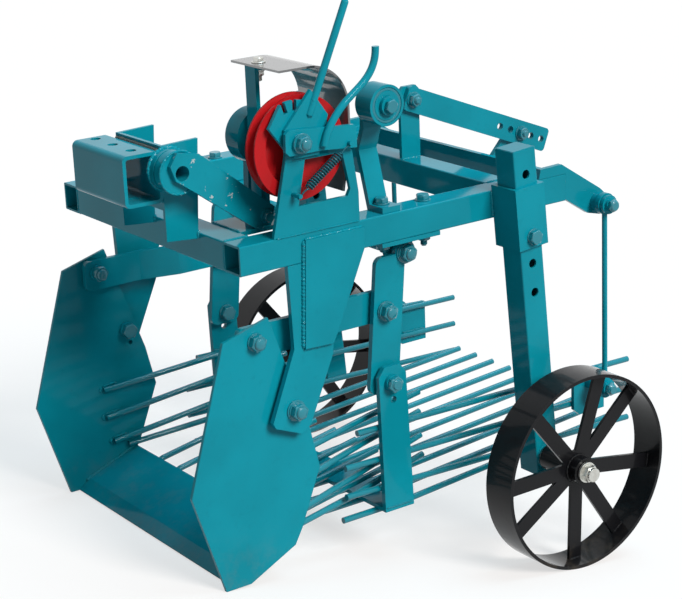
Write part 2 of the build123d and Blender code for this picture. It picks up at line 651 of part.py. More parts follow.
SLEEVE_MID = POST_IN + TUBE / 2
for hand, s in HANDS:
    with BuildPart() as post_sleeve:
        with BuildSketch(along_post(s * SLEEVE_MID, SLEEVE_BOTTOM)):
            Rectangle(TUBE + 2 * SLEEVE_WALL, TUBE + 2 * SLEEVE_WALL)
            Rectangle(TUBE, TUBE + 1, mode=Mode.SUBTRACT)
        extrude(amount=SLEEVE_TOP - SLEEVE_BOTTOM)
        with BuildSketch(wall(s, RAIL_OUT + 1, POST_OUT + SLEEVE_WALL + 1)):
            with Locations((POST_Y + POST_LEAN * 62, -62)):
                Circle(6.5)
        extrude(amount=TUBE + 2 * SLEEVE_WALL, mode=Mode.SUBTRACT)
    post_sleeve.part.label = "post_sleeve_" + hand
    export_step(post_sleeve.part, "parts/post_sleeve_" + hand + ".step")

    with BuildPart() as wheel_post:
        with BuildSketch(along_post(s * SLEEVE_MID, POST_BOTTOM)):
            RectangleRounded(TUBE, TUBE, TUBE_ROUND)
            Rectangle(TUBE - 2 * WALL, TUBE - 2 * WALL, mode=Mode.SUBTRACT)
        extrude(amount=POST_TOP - POST_BOTTOM)
        with BuildSketch(wall(s, POST_IN - 1, POST_OUT + 1)):
            with Locations(*[(POST_Y - POST_LEAN * z, z) for z in POST_HOLES]):
                Circle(6.5)
        extrude(amount=TUBE + 2, mode=Mode.SUBTRACT)
        # cap welded into the upper end
        with BuildSketch(along_post(s * SLEEVE_MID, POST_TOP - 4)):
            Rectangle(TUBE - WALL, TUBE - WALL)
        extrude(amount=3)
    wheel_post.part.label = "wheel_post_" + hand
    export_step(wheel_post.part, "parts/wheel_post_" + hand + ".step")

    with BuildPart() as wheel_axle:
        with BuildSketch(wall(s, POST_OUT, HUB_OUT + 19)):
            with Locations((WHEEL_Y, WHEEL_Z)):
                Circle(AXLE_RADIUS)
        extrude(amount=HUB_OUT + 19 - POST_OUT)
        with BuildSketch(wall(s, POST_OUT, HUB_IN - FACE_GAP)):
            with Locations((WHEEL_Y, WHEEL_Z)):
                Circle(17)
        extrude(amount=HUB_IN - FACE_GAP - POST_OUT)
        with BuildSketch(wall(s, HUB_OUT + FACE_GAP, HUB_OUT + 5)):
            with Locations((WHEEL_Y, WHEEL_Z)):
                Circle(15)
        extrude(amount=5 - FACE_GAP)
        with BuildSketch(wall(s, HUB_OUT + 5, HUB_OUT + 14)):
            with Locations((WHEEL_Y, WHEEL_Z)):
                RegularPolygon(12.5, 6)
        extrude(amount=9)
    wheel_axle.part.label = "wheel_axle_" + hand
    export_step(wheel_axle.part, "parts/wheel_axle_" + hand + ".step")

    with BuildPart() as wheel:
        with BuildSketch(wall(s, WHEEL_IN, WHEEL_IN + WHEEL_WIDTH)):
            with Locations((WHEEL_Y, WHEEL_Z)):
                Circle(WHEEL_RADIUS)
                Circle(WHEEL_RADIUS - RIM_THICK, mode=Mode.SUBTRACT)
        extrude(amount=WHEEL_WIDTH)
        spoke_in = WHEEL_IN + WHEEL_WIDTH / 2 - 2.5
        with BuildSketch(wall(s, spoke_in, spoke_in + 5)):
            with Locations(Location((WHEEL_Y, WHEEL_Z, 0))):
                Circle(28)
                for angle in SPOKE_ANGLES:
                    with PolarLocations((WHEEL_RADIUS - RIM_THICK / 2 + HUB_RADIUS / 2) / 2, 1, angle):
                        Rectangle(WHEEL_RADIUS - RIM_THICK / 2 - HUB_RADIUS / 2, 22)
        extrude(amount=5)
        with BuildSketch(wall(s, HUB_IN, HUB_OUT)):
            with Locations((WHEEL_Y, WHEEL_Z)):
                Circle(HUB_RADIUS)
        extrude(amount=HUB_OUT - HUB_IN)
        with BuildSketch(wall(s, HUB_IN, HUB_OUT)):
            with Locations((WHEEL_Y, WHEEL_Z)):
                Circle(AXLE_RADIUS + RUNNING_FIT)
        extrude(amount=HUB_OUT - HUB_IN, mode=Mode.SUBTRACT)
    wheel.part.label = "wheel_" + hand
    export_step(wheel.part, "parts/wheel_" + hand + ".step")

# drive: V pulley on its cross shaft, with the housing and the bracket that carry it

HOUSING_IN = 107.0
HOUSING_WIDTH = 30.0
HOUSING_RADIUS = 38.0
BRACKET_OUT = RAIL_OUT
BRACKET_IN = BRACKET_OUT - 6.0
SECTOR_FOOT = 97.0
LEVER_PIVOT = (93.5, 123.0)
SPRING_FOOT = (86.0, 54.6)
SPRING_HEAD = (169.0, 111.0)
with BuildPart() as shaft_housing:
    with BuildSketch(side(HOUSING_IN)):
        with Locations(DRIVE_AXIS):
            Circle(HOUSING_RADIUS)
            Circle(SHAFT_RADIUS + RUNNING_FIT, mode=Mode.SUBTRACT)
    extrude(amount=HOUSING_WIDTH)
    with BuildSketch(side(HOUSING_IN + 8)):
        Polygon((88, 0), (122, 0), (126, 100), (92, 100), align=None)
        with Locations(DRIVE_AXIS):
            Circle(HOUSING_RADIUS - 2, mode=Mode.SUBTRACT)
    extrude(amount=12)
shaft_housing.part.label = "shaft_housing"
export_step(shaft_housing.part, "parts/shaft_housing.step")

with BuildPart() as pulley_shaft:
    with BuildSketch(side(HOUSING_IN - 10)):
        with Locations(DRIVE_AXIS):
            Circle(SHAFT_RADIUS)
    extrude(amount=BRACKET_OUT - 2 - HOUSING_IN + 10)
    for x in (HOUSING_IN - 7, HOUSING_IN + HOUSING_WIDTH + FACE_GAP):
        with BuildSketch(side(x)):
            with Locations(DRIVE_AXIS):
                Circle(16)
        extrude(amount=6)
pulley_shaft.part.label = "pulley_shaft"
export_step(pulley_shaft.part, "parts/pulley_shaft.step")

GROOVE = 13.0
PULLEY_OUT = PULLEY_IN + PULLEY_WIDTH
PULLEY_MID = PULLEY_IN + PULLEY_WIDTH / 2
with BuildPart() as drive_pulley:
    with BuildSketch(front(DRIVE_AXIS[0])):
        with Locations((0, DRIVE_AXIS[1])):
            Polygon(
                (PULLEY_IN - 4, SHAFT_RADIUS), (PULLEY_OUT, SHAFT_RADIUS), (PULLEY_OUT, 21),
                (PULLEY_MID + 3, 21), (PULLEY_MID + 3, PULLEY_RADIUS - 20),
                (PULLEY_OUT, PULLEY_RADIUS - 17), (PULLEY_OUT, PULLEY_RADIUS),
                (PULLEY_MID + 8.5, PULLEY_RADIUS), (PULLEY_MID + 4, PULLEY_RADIUS - GROOVE),
                (PULLEY_MID - 4, PULLEY_RADIUS - GROOVE), (PULLEY_MID - 8.5, PULLEY_RADIUS),
                (PULLEY_IN, PULLEY_RADIUS), (PULLEY_IN, PULLEY_RADIUS - 17),
                (PULLEY_MID - 3, PULLEY_RADIUS - 20), (PULLEY_MID - 3, 21), (PULLEY_IN - 4, 21), align=None,
            )
    revolve(axis=cross_axis(*DRIVE_AXIS), revolution_arc=360)
drive_pulley.part.label = "drive_pulley"
export_step(drive_pulley.part, "parts/drive_pulley.step")

with BuildPart() as lever_bracket:
    with BuildSketch(side(BRACKET_IN)):
        Polygon((53, 0), (76, SECTOR_FOOT), (182, SECTOR_FOOT), (190, 40), (190, 0), align=None)
        Polygon(
            (94, 37), (107, SECTOR_FOOT), (166, SECTOR_FOOT), (177, 46), (172, 37), align=None,
            mode=Mode.SUBTRACT,
        )
    extrude(amount=BRACKET_OUT - BRACKET_IN)
    with BuildSketch(side(BRACKET_OUT)):
        with Locations(SPRING_FOOT):
            Circle(3)
    extrude(amount=18)
lever_bracket.part.label = "lever_bracket"
export_step(lever_bracket.part, "parts/lever_bracket.step")

# toothed plate on the bracket's legs; it also carries the outer end of the pulley's shaft
SECTOR_RADIUS = 54.0
with BuildPart() as toothed_sector:
    with BuildSketch(side(BRACKET_IN)):
        with BuildLine():
            rim = CenterArc(LEVER_PIVOT, SECTOR_RADIUS, 20, 92)
            Polyline(
                rim @ 1, (54.4, 144.7), (79, 112), (76, SECTOR_FOOT + SEAT), (182, SECTOR_FOOT + SEAT), rim @ 0,
            )
        make_face()
        with Locations(LEVER_PIVOT):
            with PolarLocations(SECTOR_RADIUS - 4, 5, 30, 78, endpoint=True):
                Rectangle(20, 6, mode=Mode.SUBTRACT)
        with Locations(DRIVE_AXIS):
            Circle(SHAFT_RADIUS + RUNNING_FIT, mode=Mode.SUBTRACT)
    extrude(amount=BRACKET_OUT - BRACKET_IN)
toothed_sector.part.label = "toothed_sector"
export_step(toothed_sector.part, "parts/toothed_sector.step")

# levers beside the bracket, with their return spring

LEVER_ROD = 5.0
with BuildPart() as hand_lever:
    with BuildSketch(side(BRACKET_OUT)):
        Polygon((74, 141), (117, 188), (142, 152), (126, 102), (88, 102), align=None)
    extrude(amount=6)
    with BuildSketch(side(BRACKET_OUT + 6)):
        with Locations(LEVER_PIVOT):
            Circle(PIN_RADIUS)
    extrude(amount=14)
    with BuildSketch(side(BRACKET_OUT + 12)):
        with Locations(LEVER_PIVOT):
            Circle(13)
    extrude(amount=3)
    with BuildLine() as run:
        Line(at(BRACKET_OUT + 5, 113, 155), at(BRACKET_OUT + 8, 174, 293))
    with BuildSketch(Plane(origin=run.line @ 0, z_dir=run.line % 0)):
        Circle(LEVER_ROD)
    sweep()
    with Locations(Location(at(BRACKET_OUT + 8, 174, 293))):
        Sphere(LEVER_ROD)
hand_lever.part.label = "hand_lever"
export_step(hand_lever.part, "parts/hand_lever.step")

with BuildPart() as latch_lever:
    with BuildSketch(side(BRACKET_OUT + 6)):
        Polygon(
            (77, 142), (71, 137), (70, 114), (76, 108), (126, 108), (157, 105), (182, 103), (182, 129),
            (178, 134), align=None,
        )
        with Locations(LEVER_PIVOT):
            Circle(PIN_RADIUS, mode=Mode.SUBTRACT)
    extrude(amount=6)
    with BuildSketch(side(BRACKET_OUT + 12)):
        with Locations(SPRING_HEAD):
            Circle(3)
    extrude(amount=6)
    with BuildLine() as run:
        Spline(
            at(BRACKET_OUT + 16, 127, 114), at(BRACKET_OUT + 16, 143, 146), at(BRACKET_OUT + 16, 164, 167),
            at(BRACKET_OUT + 16, 195, 190), at(BRACKET_OUT + 16, 214, 232),
        )
    with BuildSketch(Plane(origin=run.line @ 0, z_dir=run.line % 0)):
        Circle(LEVER_ROD)
    sweep()
latch_lever.part.label = "latch_lever"
export_step(latch_lever.part, "parts/latch_lever.step")

SPRING_X = BRACKET_OUT + 15.5
SPRING_SPAN = hypot(SPRING_HEAD[0] - SPRING_FOOT[0], SPRING_HEAD[1] - SPRING_FOOT[1])


def on_spring(along):
    """Point at a distance along the spring's axis from its lower stud."""
    t = along / SPRING_SPAN
    return at(
        SPRING_X, SPRING_FOOT[0] + t * (SPRING_HEAD[0] - SPRING_FOOT[0]),
        SPRING_FOOT[1] + t * (SPRING_HEAD[1] - SPRING_FOOT[1]),
    )


# radius, first distance, last distance
SPRING_STEPS = ((1.5, 3.1, SPRING_SPAN - 3.1), (5.5, 15.0, SPRING_SPAN - 20.0))
with BuildPart() as latch_spring:
    for radius, first, last in SPRING_STEPS:
        with BuildLine() as run:
            Line(on_spring(first), on_spring(last))
        with BuildSketch(Plane(origin=run.line @ 0, z_dir=run.line % 0)):
            Circle(radius)
        sweep()
latch_spring.part.label = "latch_spring"
export_step(latch_spring.part, "parts/latch_spring.step")

# belt guard on its post

GUARD_THICK = 3.0
GUARD_MID = 214.0
GUARD_IN = 118.0
GUARD_OUT = BRACKET_IN - 2.0
GUARD_REAR = DRIVE_AXIS[0] + PULLEY_RADIUS + GAP + 2.0
with BuildPart() as belt_guard:
    with BuildSketch(side(GUARD_IN)):
        with BuildLine() as run:
            Line((79, GUARD_MID), (GUARD_REAR - 60, GUARD_MID))
            CenterArc((GUARD_REAR - 60, GUARD_MID - 60), 60, 90, -90)
            Line((GUARD_REAR, GUARD_MID - 60), (GUARD_REAR, 112))
            Line((GUARD_REAR, 112), (GUARD_REAR - 13, 42))
        trace(line_width=GUARD_THICK)
    extrude(amount=GUARD_OUT - GUARD_IN)
belt_guard.part.label = "belt_guard"
export_step(belt_guard.part, "parts/belt_guard.step")

POST_STEP = GUARD_MID - GUARD_THICK / 2
with BuildPart() as guard_post:
    with BuildSketch(side(145)):
        Polygon(
            (83, -6), (83, POST_STEP), (118, POST_STEP), (118, POST_STEP - 6), (89, POST_STEP - 6),
            (89, -6), align=None,
        )
    extrude(amount=24)
    # tie plate behind the crossbeam, which also carries the shaft's housing
    with BuildSketch(top(-6)):
        with Locations((142.5, 84)):
            Rectangle(71, 88)
    extrude(amount=6)
guard_post.part.label = "guard_post"
export_step(guard_post.part, "parts/guard_post.step")

# guide roller on a cranked strip

STRIP_X = ROLLER_IN - FACE_GAP - FLAT / 2
with BuildPart() as roller_bracket:
    with BuildSketch(front(231)):
        with BuildLine():
            Polyline((236, FLAT / 2), (204, FLAT / 2), (182, 80), (STRIP_X, 112), (STRIP_X, 168))
        trace(line_width=FLAT)
    extrude(amount=-30)
    with BuildSketch(side(STRIP_X)):
        with Locations(ROLLER_AXIS):
            Circle(PIN_RADIUS)
    extrude(amount=ROLLER_IN + ROLLER_WIDTH + 8 - STRIP_X)
    with BuildSketch(side(ROLLER_IN + ROLLER_WIDTH + FACE_GAP)):
        with Locations(ROLLER_AXIS):
            Circle(13)
    extrude(amount=5)
roller_bracket.part.label = "roller_bracket"
export_step(roller_bracket.part, "parts/roller_bracket.step")

with BuildPart() as guide_roller:
    with BuildSketch(side(ROLLER_IN)):
        with Locations(ROLLER_AXIS):
            Circle(ROLLER_RADIUS)
            Circle(PIN_RADIUS + RUNNING_FIT, mode=Mode.SUBTRACT)
    extrude(amount=ROLLER_WIDTH)
    with BuildSketch(side(ROLLER_IN + ROLLER_WIDTH - 3)):
        with Locations(ROLLER_AXIS):
            Circle(24)
            Circle(20, mode=Mode.SUBTRACT)
    extrude(amount=3, mode=Mode.SUBTRACT)
guide_roller.part.label = "guide_roller"
export_step(guide_roller.part, "parts/guide_roller.step")
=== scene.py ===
"""Looks of a potato digger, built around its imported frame."""

import math
import random

import bmesh
import bpy
from bpy.props import FloatProperty, FloatVectorProperty, IntProperty, PointerProperty
from mathutils import Matrix, Vector


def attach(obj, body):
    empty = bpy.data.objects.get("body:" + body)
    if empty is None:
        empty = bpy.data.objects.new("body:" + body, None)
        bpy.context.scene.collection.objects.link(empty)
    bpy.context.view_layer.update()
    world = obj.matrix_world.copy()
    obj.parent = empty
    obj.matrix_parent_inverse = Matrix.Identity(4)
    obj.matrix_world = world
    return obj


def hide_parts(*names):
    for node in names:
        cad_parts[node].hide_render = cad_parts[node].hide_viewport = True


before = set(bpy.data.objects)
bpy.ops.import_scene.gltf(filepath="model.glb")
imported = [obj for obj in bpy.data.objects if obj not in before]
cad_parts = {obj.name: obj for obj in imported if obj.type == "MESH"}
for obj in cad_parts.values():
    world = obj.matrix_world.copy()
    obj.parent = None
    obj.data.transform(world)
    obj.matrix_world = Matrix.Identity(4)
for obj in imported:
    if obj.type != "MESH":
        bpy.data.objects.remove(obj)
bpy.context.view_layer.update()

bl_info = {
    "name": "Potato digger looks",
    "version": (1, 0, 0),
    "blender": (4, 5, 0),
    "location": "3D View > Sidebar > Digger",
    "description": "Paint, fasteners, welds and spring of a towed potato digger",
    "category": "Object",
}

MM = 0.001

# Real sizes in millimetres, in the rails' own frame: x to the machine's left, y rearward along
# the rails from their front ends, z up from the rails' top faces. Pairs are (y, z).
WHEEL_RADIUS = 144.5
WHEEL = (476.0, -399.0)
TIP = (-42.0, -476.6)
MIDDLE = 316.66
PITCH = math.asin(
    WHEEL_RADIUS / math.hypot(WHEEL[0] - TIP[0], WHEEL[1] - TIP[1])
) - math.atan2(WHEEL[1] - TIP[1], WHEEL[0] - TIP[0])
SIN = math.sin(PITCH)
COS = math.cos(PITCH)
LIFT = WHEEL_RADIUS - WHEEL[0] * SIN - WHEEL[1] * COS

HANDS = {"left": 1, "right": -1}
TUBE = 40.0
RAIL_IN = 200.0
RAIL_OUT = 240.0
MID_BEAM = 440.0
KNIFE_PIVOT = (73.5, -240.0)
LINK_FRONT = (25.0, -136.5)
LINK_REAR = (247.0, -145.0)
ROCKER_PIVOT = (284.0, -68.0)
GRATE_PIVOT = (243.0, -246.0)
HANGER_TOP = (616.0, -52.0)
HANGER_FOOT = (617.0, -336.0)
DRIVE_AXIS = (108.0, 111.0)
ROLLER_AXIS = (246.0, 146.0)
CRANK_END = (667.5, 6.0)
BAR_BOLT = (459.0, 90.0)
BRACE_BOLT = (83.5, 14.0)
BUSH = (-40.0, 93.0)
LEVER_PIVOT = (93.5, 123.0)
SPRING_FOOT = (86.0, 54.6)
SPRING_HEAD = (169.0, 111.0)
SPOKE_ANGLES = (71.0, 41.0, -10.0, -56.0, -92.0, -148.0, 180.0, 129.0)
POST_LEAN = 0.0818
POST_Y = WHEEL[0] + WHEEL[1] * POST_LEAN
BLADE_EDGE = (-28.0, -476.5)
BLADE_RUN = (0.928, 0.371)
KNIFE_RODS = 7
KNIFE_ROD_PITCH = 53.0
KNIFE_SIDE_RODS = ((25.0, -326.0), (26.0, -371.0), (36.0, -412.0))
GRATE_RODS = 10
GRATE_ROD_PITCH = 44.4
GRATE_BACK = 703.0
# height at the front end, height at the back, and where the front end is
GRATE_SIDE_RODS = ((-312.0, -323.0, 190.0), (-359.0, -370.0, 168.0), (-402.0, -418.0, 168.0))

# How far from the machine's middle the faces lie that nuts, heads and beads sit on.
KNIFE_PIN_IN = 214.0
LINK_OUT = 225.0
LINK_PIN_IN = 201.0
STRAP_OUT = 213.0
STRAP_PIN_IN = 186.0
ROCKER_BUSH_IN = 189.5
GRATE_PIN_OUT = 232.0
GRATE_PIN_IN = 205.0
HANGER_PIN_END = 266.0
REAR_SHAFT_END = 272.0
RAIL_BOLT = 214.0
SLEEVE_OUT = 292.0
SLEEVE_BEAD = 240.5
LEVER_OUT = 255.0
BRACE_OUT = 182.0
ROLLER_PIN_OUT = 242.0
ROLLER_PIN_IN = 191.0
ROLLER_FACE = 231.2
PULLEY_OUT = 228.0
PULLEY_IN = 202.0
SPRING_X = 255.5
GUSSET_BEAD = RAIL_OUT + 0.6
ARM_MIDDLE = 232.0
KNIFE_BEAD = 219.4
GRATE_BEAD = 217.6

# Linear colours of what shows through the paint or lies on it.
PRIMER = (0.22, 0.33, 0.35, 1.0)
CHIP = (0.45, 0.52, 0.50, 1.0)
SOIL = (0.20, 0.15, 0.10, 1.0)
RUBBED = (0.8, 0.8, 0.78, 1.0)

SUN_FROM = (0.80, 0.06, 0.62)
OVERHEAD_FROM = (0.0, 0.22, 0.97)
OVERHEAD_COLOUR = (0.48, 0.79, 1.0)
CAMERA_AT = (2225.52, -1615.81, 971.47)
CAMERA_RIGHT = (0.58012, 0.81185, 0.06597)
CAMERA_BACK = (0.78359, -0.57836, 0.22691)


def at(x, y, z):
    """A point of the rails' frame, in metres, as the machine stands."""
    return Vector((x, y * COS - z * SIN - MIDDLE, y * SIN + z * COS + LIFT)) * MM


def way(x, y, z):
    """A direction of the rails' frame, as the machine stands."""
    return Vector((x, y * COS - z * SIN, y * SIN + z * COS)).normalized()


def on_blade(along, above):
    """Place (y, z) at a distance along the blade's underside and above it."""
    return (
        BLADE_EDGE[0] + along * BLADE_RUN[0] - above * BLADE_RUN[1],
        BLADE_EDGE[1] + along * BLADE_RUN[1] + above * BLADE_RUN[0],
    )


# materials


class Value:
    """A shader socket that takes part in Python arithmetic."""

    def __init__(self, nodes, socket):
        self.nodes = nodes
        self.socket = socket

    def math(self, operation, first, second, clamp=False):
        settings = {"operation": operation, "use_clamp": clamp}
        return self.nodes.node("ShaderNodeMath", settings, {0: first, 1: second})

    def __add__(self, other):
        return self.math("ADD", self, other)

    __radd__ = __add__

    def __sub__(self, other):
        return self.math("SUBTRACT", self, other)

    def __rsub__(self, other):
        return self.math("SUBTRACT", other, self)

    def __mul__(self, other):
        return self.math("MULTIPLY", self, other)

    __rmul__ = __mul__

    def step(self, low, high):
        """0 below low, 1 above high, and smooth between them; low may be the greater."""
        settings = {"interpolation_type": "SMOOTHSTEP", "clamp": True}
        flip = low > high
        ends = {1: min(low, high), 2: max(low, high), 3: float(flip), 4: float(not flip)}
        return self.nodes.node("ShaderNodeMapRange", settings, {0: self, **ends})


class Nodes:
    """The shader of a material or of the world, made node by node."""

    def __init__(self, owner):
        owner.use_nodes = True
        self.owner = owner
        self.tree = owner.node_tree
        self.tree.nodes.clear()

    def node(self, kind, settings=None, sockets=None, out=0):
        """Adds a node: its settings first, then the values or links of its sockets."""
        made = self.tree.nodes.new(kind)
        for name, value in (settings or {}).items():
            setattr(made, name, value)
        for key, value in (sockets or {}).items():
            if isinstance(value, Value):
                self.tree.links.new(value.socket, made.inputs[key])
            else:
                made.inputs[key].default_value = value
        return Value(self, made.outputs[out]) if made.outputs else None

    def sight(self):
        """1 for rays that see a thing straight, in a mirror or through glass."""
        seen = [
            self.node("ShaderNodeLightPath", out="Is " + kind + " Ray")
            for kind in ("Camera", "Glossy", "Transmission")
        ]
        return seen[0].math("ADD", seen[0] + seen[1], seen[2], clamp=True)


class Finish(Nodes):
    """One painted or plated surface."""

    def __init__(self, name):
        super().__init__(bpy.data.materials.new(name))
        self.place = self.node("ShaderNodeTexCoord", out="Object")

    def noise(self, scale, detail=2.0, rough=0.5):
        sockets = {"Vector": self.place, "Scale": scale, "Detail": detail, "Roughness": rough}
        return self.node("ShaderNodeTexNoise", {}, sockets)

    def mix(self, factor, first, second):
        """A colour between two colours."""
        settings = {"data_type": "RGBA", "clamp_factor": True}
        return self.node("ShaderNodeMix", settings, {0: factor, 6: first, 7: second}, out=2)

    def height(self):
        """Height above the floor at rest, in metres."""
        return self.node("ShaderNodeSeparateXYZ", {}, {0: self.place}, out="Z")

    def edge(self, radius):
        """Rounded normal of sharp edges, and a mask of where they are."""
        soft = self.node("ShaderNodeBevel", {"samples": 4}, {"Radius": radius})
        flat = self.node("ShaderNodeNewGeometry", out="Normal")
        settings = {"operation": "DOT_PRODUCT"}
        same = self.node("ShaderNodeVectorMath", settings, {0: soft, 1: flat}, out="Value")
        return soft, same.step(0.995, 0.85)

    def bump(self, height, strength, distance, normal):
        sockets = {"Height": height, "Strength": strength, "Distance": distance, "Normal": normal}
        return self.node("ShaderNodeBump", {}, sockets)

    def done(self, **sockets):
        """Closes the material with one Principled shader; underscores in names stand for spaces."""
        sockets = {name.replace("_", " "): value for name, value in sockets.items()}
        shader = self.node("ShaderNodeBsdfPrincipled", {}, sockets)
        self.node("ShaderNodeOutputMaterial", {}, {"Surface": shader})


def rgba(colour, share=1.0):
    return (colour[0] * share, colour[1] * share, colour[2] * share, 1.0)


def gloss_paint(name, colour, dust, dust_height, chips, shine=0.0, coat_ior=1.18, wear=0.3):
    """Gloss paint over steel: uneven film, orange peel, dust low down, worn edges and rare chips."""
    f = Finish(name)
    cloud = f.noise(7.0, 3.0)
    film = f.noise(95.0, 3.0, 0.6)
    grain = f.noise(1100.0, 1.0)
    soft, edge = f.edge(0.0009)
    tone = f.mix(cloud.step(0.3, 0.7), rgba(colour, 0.88), rgba(colour, 1.08))
    tone = f.mix(film.step(0.55, 0.8) * 0.35, tone, rgba(colour, 0.76))
    worn = edge * film.step(0.52, 0.68) * wear
    tone = f.mix(worn, tone, PRIMER)
    low = f.height().step(dust_height, 0.0) * f.noise(38.0, 5.0, 0.65).step(0.42, 0.72)
    tone = f.mix(low * dust, tone, SOIL)
    speck = f.noise(64.0, 4.0, 0.7).step(chips, chips + 0.015)
    tone = f.mix(speck, tone, CHIP)
    rough = 0.34 + cloud * 0.08 + film * 0.1 + low * (0.4 * dust)
    peel = f.bump(grain * 0.35 + film, 0.22, 0.00018, soft)
    f.done(
        Base_Color=tone, Roughness=rough, Normal=peel, Coat_Weight=1.0, Coat_Roughness=0.08,
        Coat_IOR=coat_ior, Specular_IOR_Level=shine,
    )


def bare_metal(name, colour, rough, stain, scratch=0.5):
    """Plated or worn steel with a faint grain and stains."""
    f = Finish(name)
    cloud = f.noise(60.0, 4.0, 0.6)
    grain = f.noise(900.0, 2.0)
    soft, edge = f.edge(0.0004)
    tone = f.mix(cloud.step(0.4, 0.75) * stain, rgba(colour), SOIL)
    tone = f.mix(edge * 0.5, tone, RUBBED)
    f.done(
        Base_Color=tone, Metallic=1.0 - cloud.step(0.45, 0.8) * (0.5 * stain),
        Roughness=rough + grain * 0.15, Normal=f.bump(grain, scratch, 0.00006, soft),
    )


def paint(name):
    return bpy.data.materials[name]


# mesh code


def hex_radius(angle, half):
    """Distance from a hexagon's centre to its side at an angle; half is half its width."""
    turn = (angle + math.pi / 6) % (math.pi / 3) - math.pi / 6
    return half / math.cos(turn)


class Piece:
    """One visible piece: a mesh that is filled part by part and then rides on a body."""

    def __init__(self, name):
        self.name = name
        self.mesh = bmesh.new()

    def skin(self, rows, closed=False):
        """Joins rings of as many vertices each; open ends are capped."""
        pairs = list(zip(rows, rows[1:]))
        if closed:
            pairs.append((rows[-1], rows[0]))
        sides = len(rows[0])
        for low, high in pairs:
            for i in range(sides):
                j = (i + 1) % sides
                self.mesh.faces.new((low[i], low[j], high[j], high[i]))
        if not closed:
            self.mesh.faces.new(list(reversed(rows[0])))
            self.mesh.faces.new(rows[-1])

    def rings(self, place, profile, sides=32, closed=False):
        """Turns a profile of (radius, height) round the local Z axis of a place. A step with a
        third value is six-sided, and that value says how steeply its corners drop."""
        rows = []
        for step in profile:
            radius, height = step[0] * MM, step[1] * MM
            row = []
            for i in range(sides):
                angle = 2 * math.pi * i / sides
                reach = radius
                rise = height
                if len(step) > 2:
                    reach = hex_radius(angle, radius)
                    rise = height - step[2] * max(0.0, reach - 1.04 * radius)
                spot = Vector((reach * math.cos(angle), reach * math.sin(angle), rise))
                row.append(self.mesh.verts.new(place @ spot))
            rows.append(row)
        self.skin(rows, closed)

    def washer(self, place, start, inner, outer, thick):
        """A washer with a softened rim; gives the height of its outer face."""
        rim = 0.4
        top = start + thick
        self.rings(
            place, (
                (inner, start), (outer - rim, start), (outer, start + rim), (outer, top - rim),
                (outer - rim, top), (inner, top),
            ), closed=True,
        )
        return top

    def hexagon(self, place, start, flats, high, nut=False):
        """A bolt head, or a nut chamfered at both faces; gives the height of its top."""
        half = flats / 2
        lip = 0.6 if nut else 0.2
        foot = -0.5 if nut else 0.0
        self.rings(
            place, (
                (half * 0.96, start), (half, start + lip, foot), (half, start + high - 0.9, 0.55),
                (half * 0.95, start + high),
            ), sides=48,
        )
        return start + high

    def stud(self, place, start, radius, long, pitch=1.75):
        """A bolt's threaded end."""
        depth = 0.6 * pitch
        profile = []
        height = start
        while height < start + long - pitch:
            profile += [(radius - depth, height), (radius, height + pitch * 0.45)]
            profile.append((radius - depth, height + pitch * 0.95))
            height += pitch
        profile += [(radius - depth, height), (radius - depth - 0.8, start + long)]
        self.rings(place, profile, sides=24)

    def fastener(self, place, washers, flats, high, nut=False, end=()):
        """Washers of (inner, outer, thickness) from the face outward, then a bolt head or a nut,
        and past the nut the bolt's end of (radius, length, pitch)."""
        rise = 0.0
        for washer in washers:
            rise = self.washer(place, rise, *washer)
        top = self.hexagon(place, rise, flats, high, nut)
        if end:
            self.stud(place, top - 0.5, *end)

    def bead(self, points, radius, seed, closed=False):
        """A weld bead along a run of points in millimetres: a rippled half-buried rope."""
        draw = random.Random(seed)
        run = [at(*p) for p in points]
        if closed:
            run.append(run[0])
        pace = 1.3 * MM
        places = []
        for a, b in zip(run, run[1:]):
            count = max(1, round((b - a).length / pace))
            places += [a.lerp(b, i / count) for i in range(count)]
        if not closed:
            places.append(run[-1])
        total = len(places)
        rows = []
        phase = draw.random() * 6
        for i, middle in enumerate(places):
            if closed:
                ahead = places[(i + 1) % total] - places[i - 1]
            else:
                ahead = places[min(i + 1, total - 1)] - places[max(i - 1, 0)]
            ahead.normalize()
            across = ahead.orthogonal() if abs(ahead.x) > 0.9 else ahead.cross(Vector((1, 0, 0)))
            across.normalize()
            other = ahead.cross(across)
            size = radius * MM * (1 + 0.14 * math.sin(phase + i * 1.55) + draw.uniform(-0.12, 0.12))
            if not closed:
                size *= min(1.0, 0.45 + 0.3 * min(i, total - 1 - i))
            drift = Vector((draw.uniform(-1, 1), draw.uniform(-1, 1), draw.uniform(-1, 1)))
            shift = drift * radius * MM * 0.06
            row = []
            for k in range(8):
                turn = 2 * math.pi * k / 8
                spot = middle + shift + across * size * math.cos(turn) + other * size * math.sin(turn)
                row.append(self.mesh.verts.new(spot))
            rows.append(row)
        self.skin(rows, closed)

    def seam(self, start, end, radius, seed, hand=1):
        """A straight bead between two points given for the left hand; -1 mirrors it."""
        self.bead([(x * hand, y, z) for x, y, z in (start, end)], radius, seed)

    def finish(self, material, body, slot, replaces=()):
        """Makes the object, smooth but for its sharp edges, and lets it ride on its body."""
        bmesh.ops.recalc_face_normals(self.mesh, faces=self.mesh.faces)
        mesh = bpy.data.meshes.new(self.name)
        self.mesh.to_mesh(mesh)
        self.mesh.free()
        mesh.shade_smooth()
        mesh.set_sharp_from_angle(angle=math.radians(35.0))
        made = bpy.data.objects.new(self.name, mesh)
        bpy.context.scene.collection.objects.link(made)
        made.data.materials.append(material)
        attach(made, body)
        if replaces:
            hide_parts(*replaces)


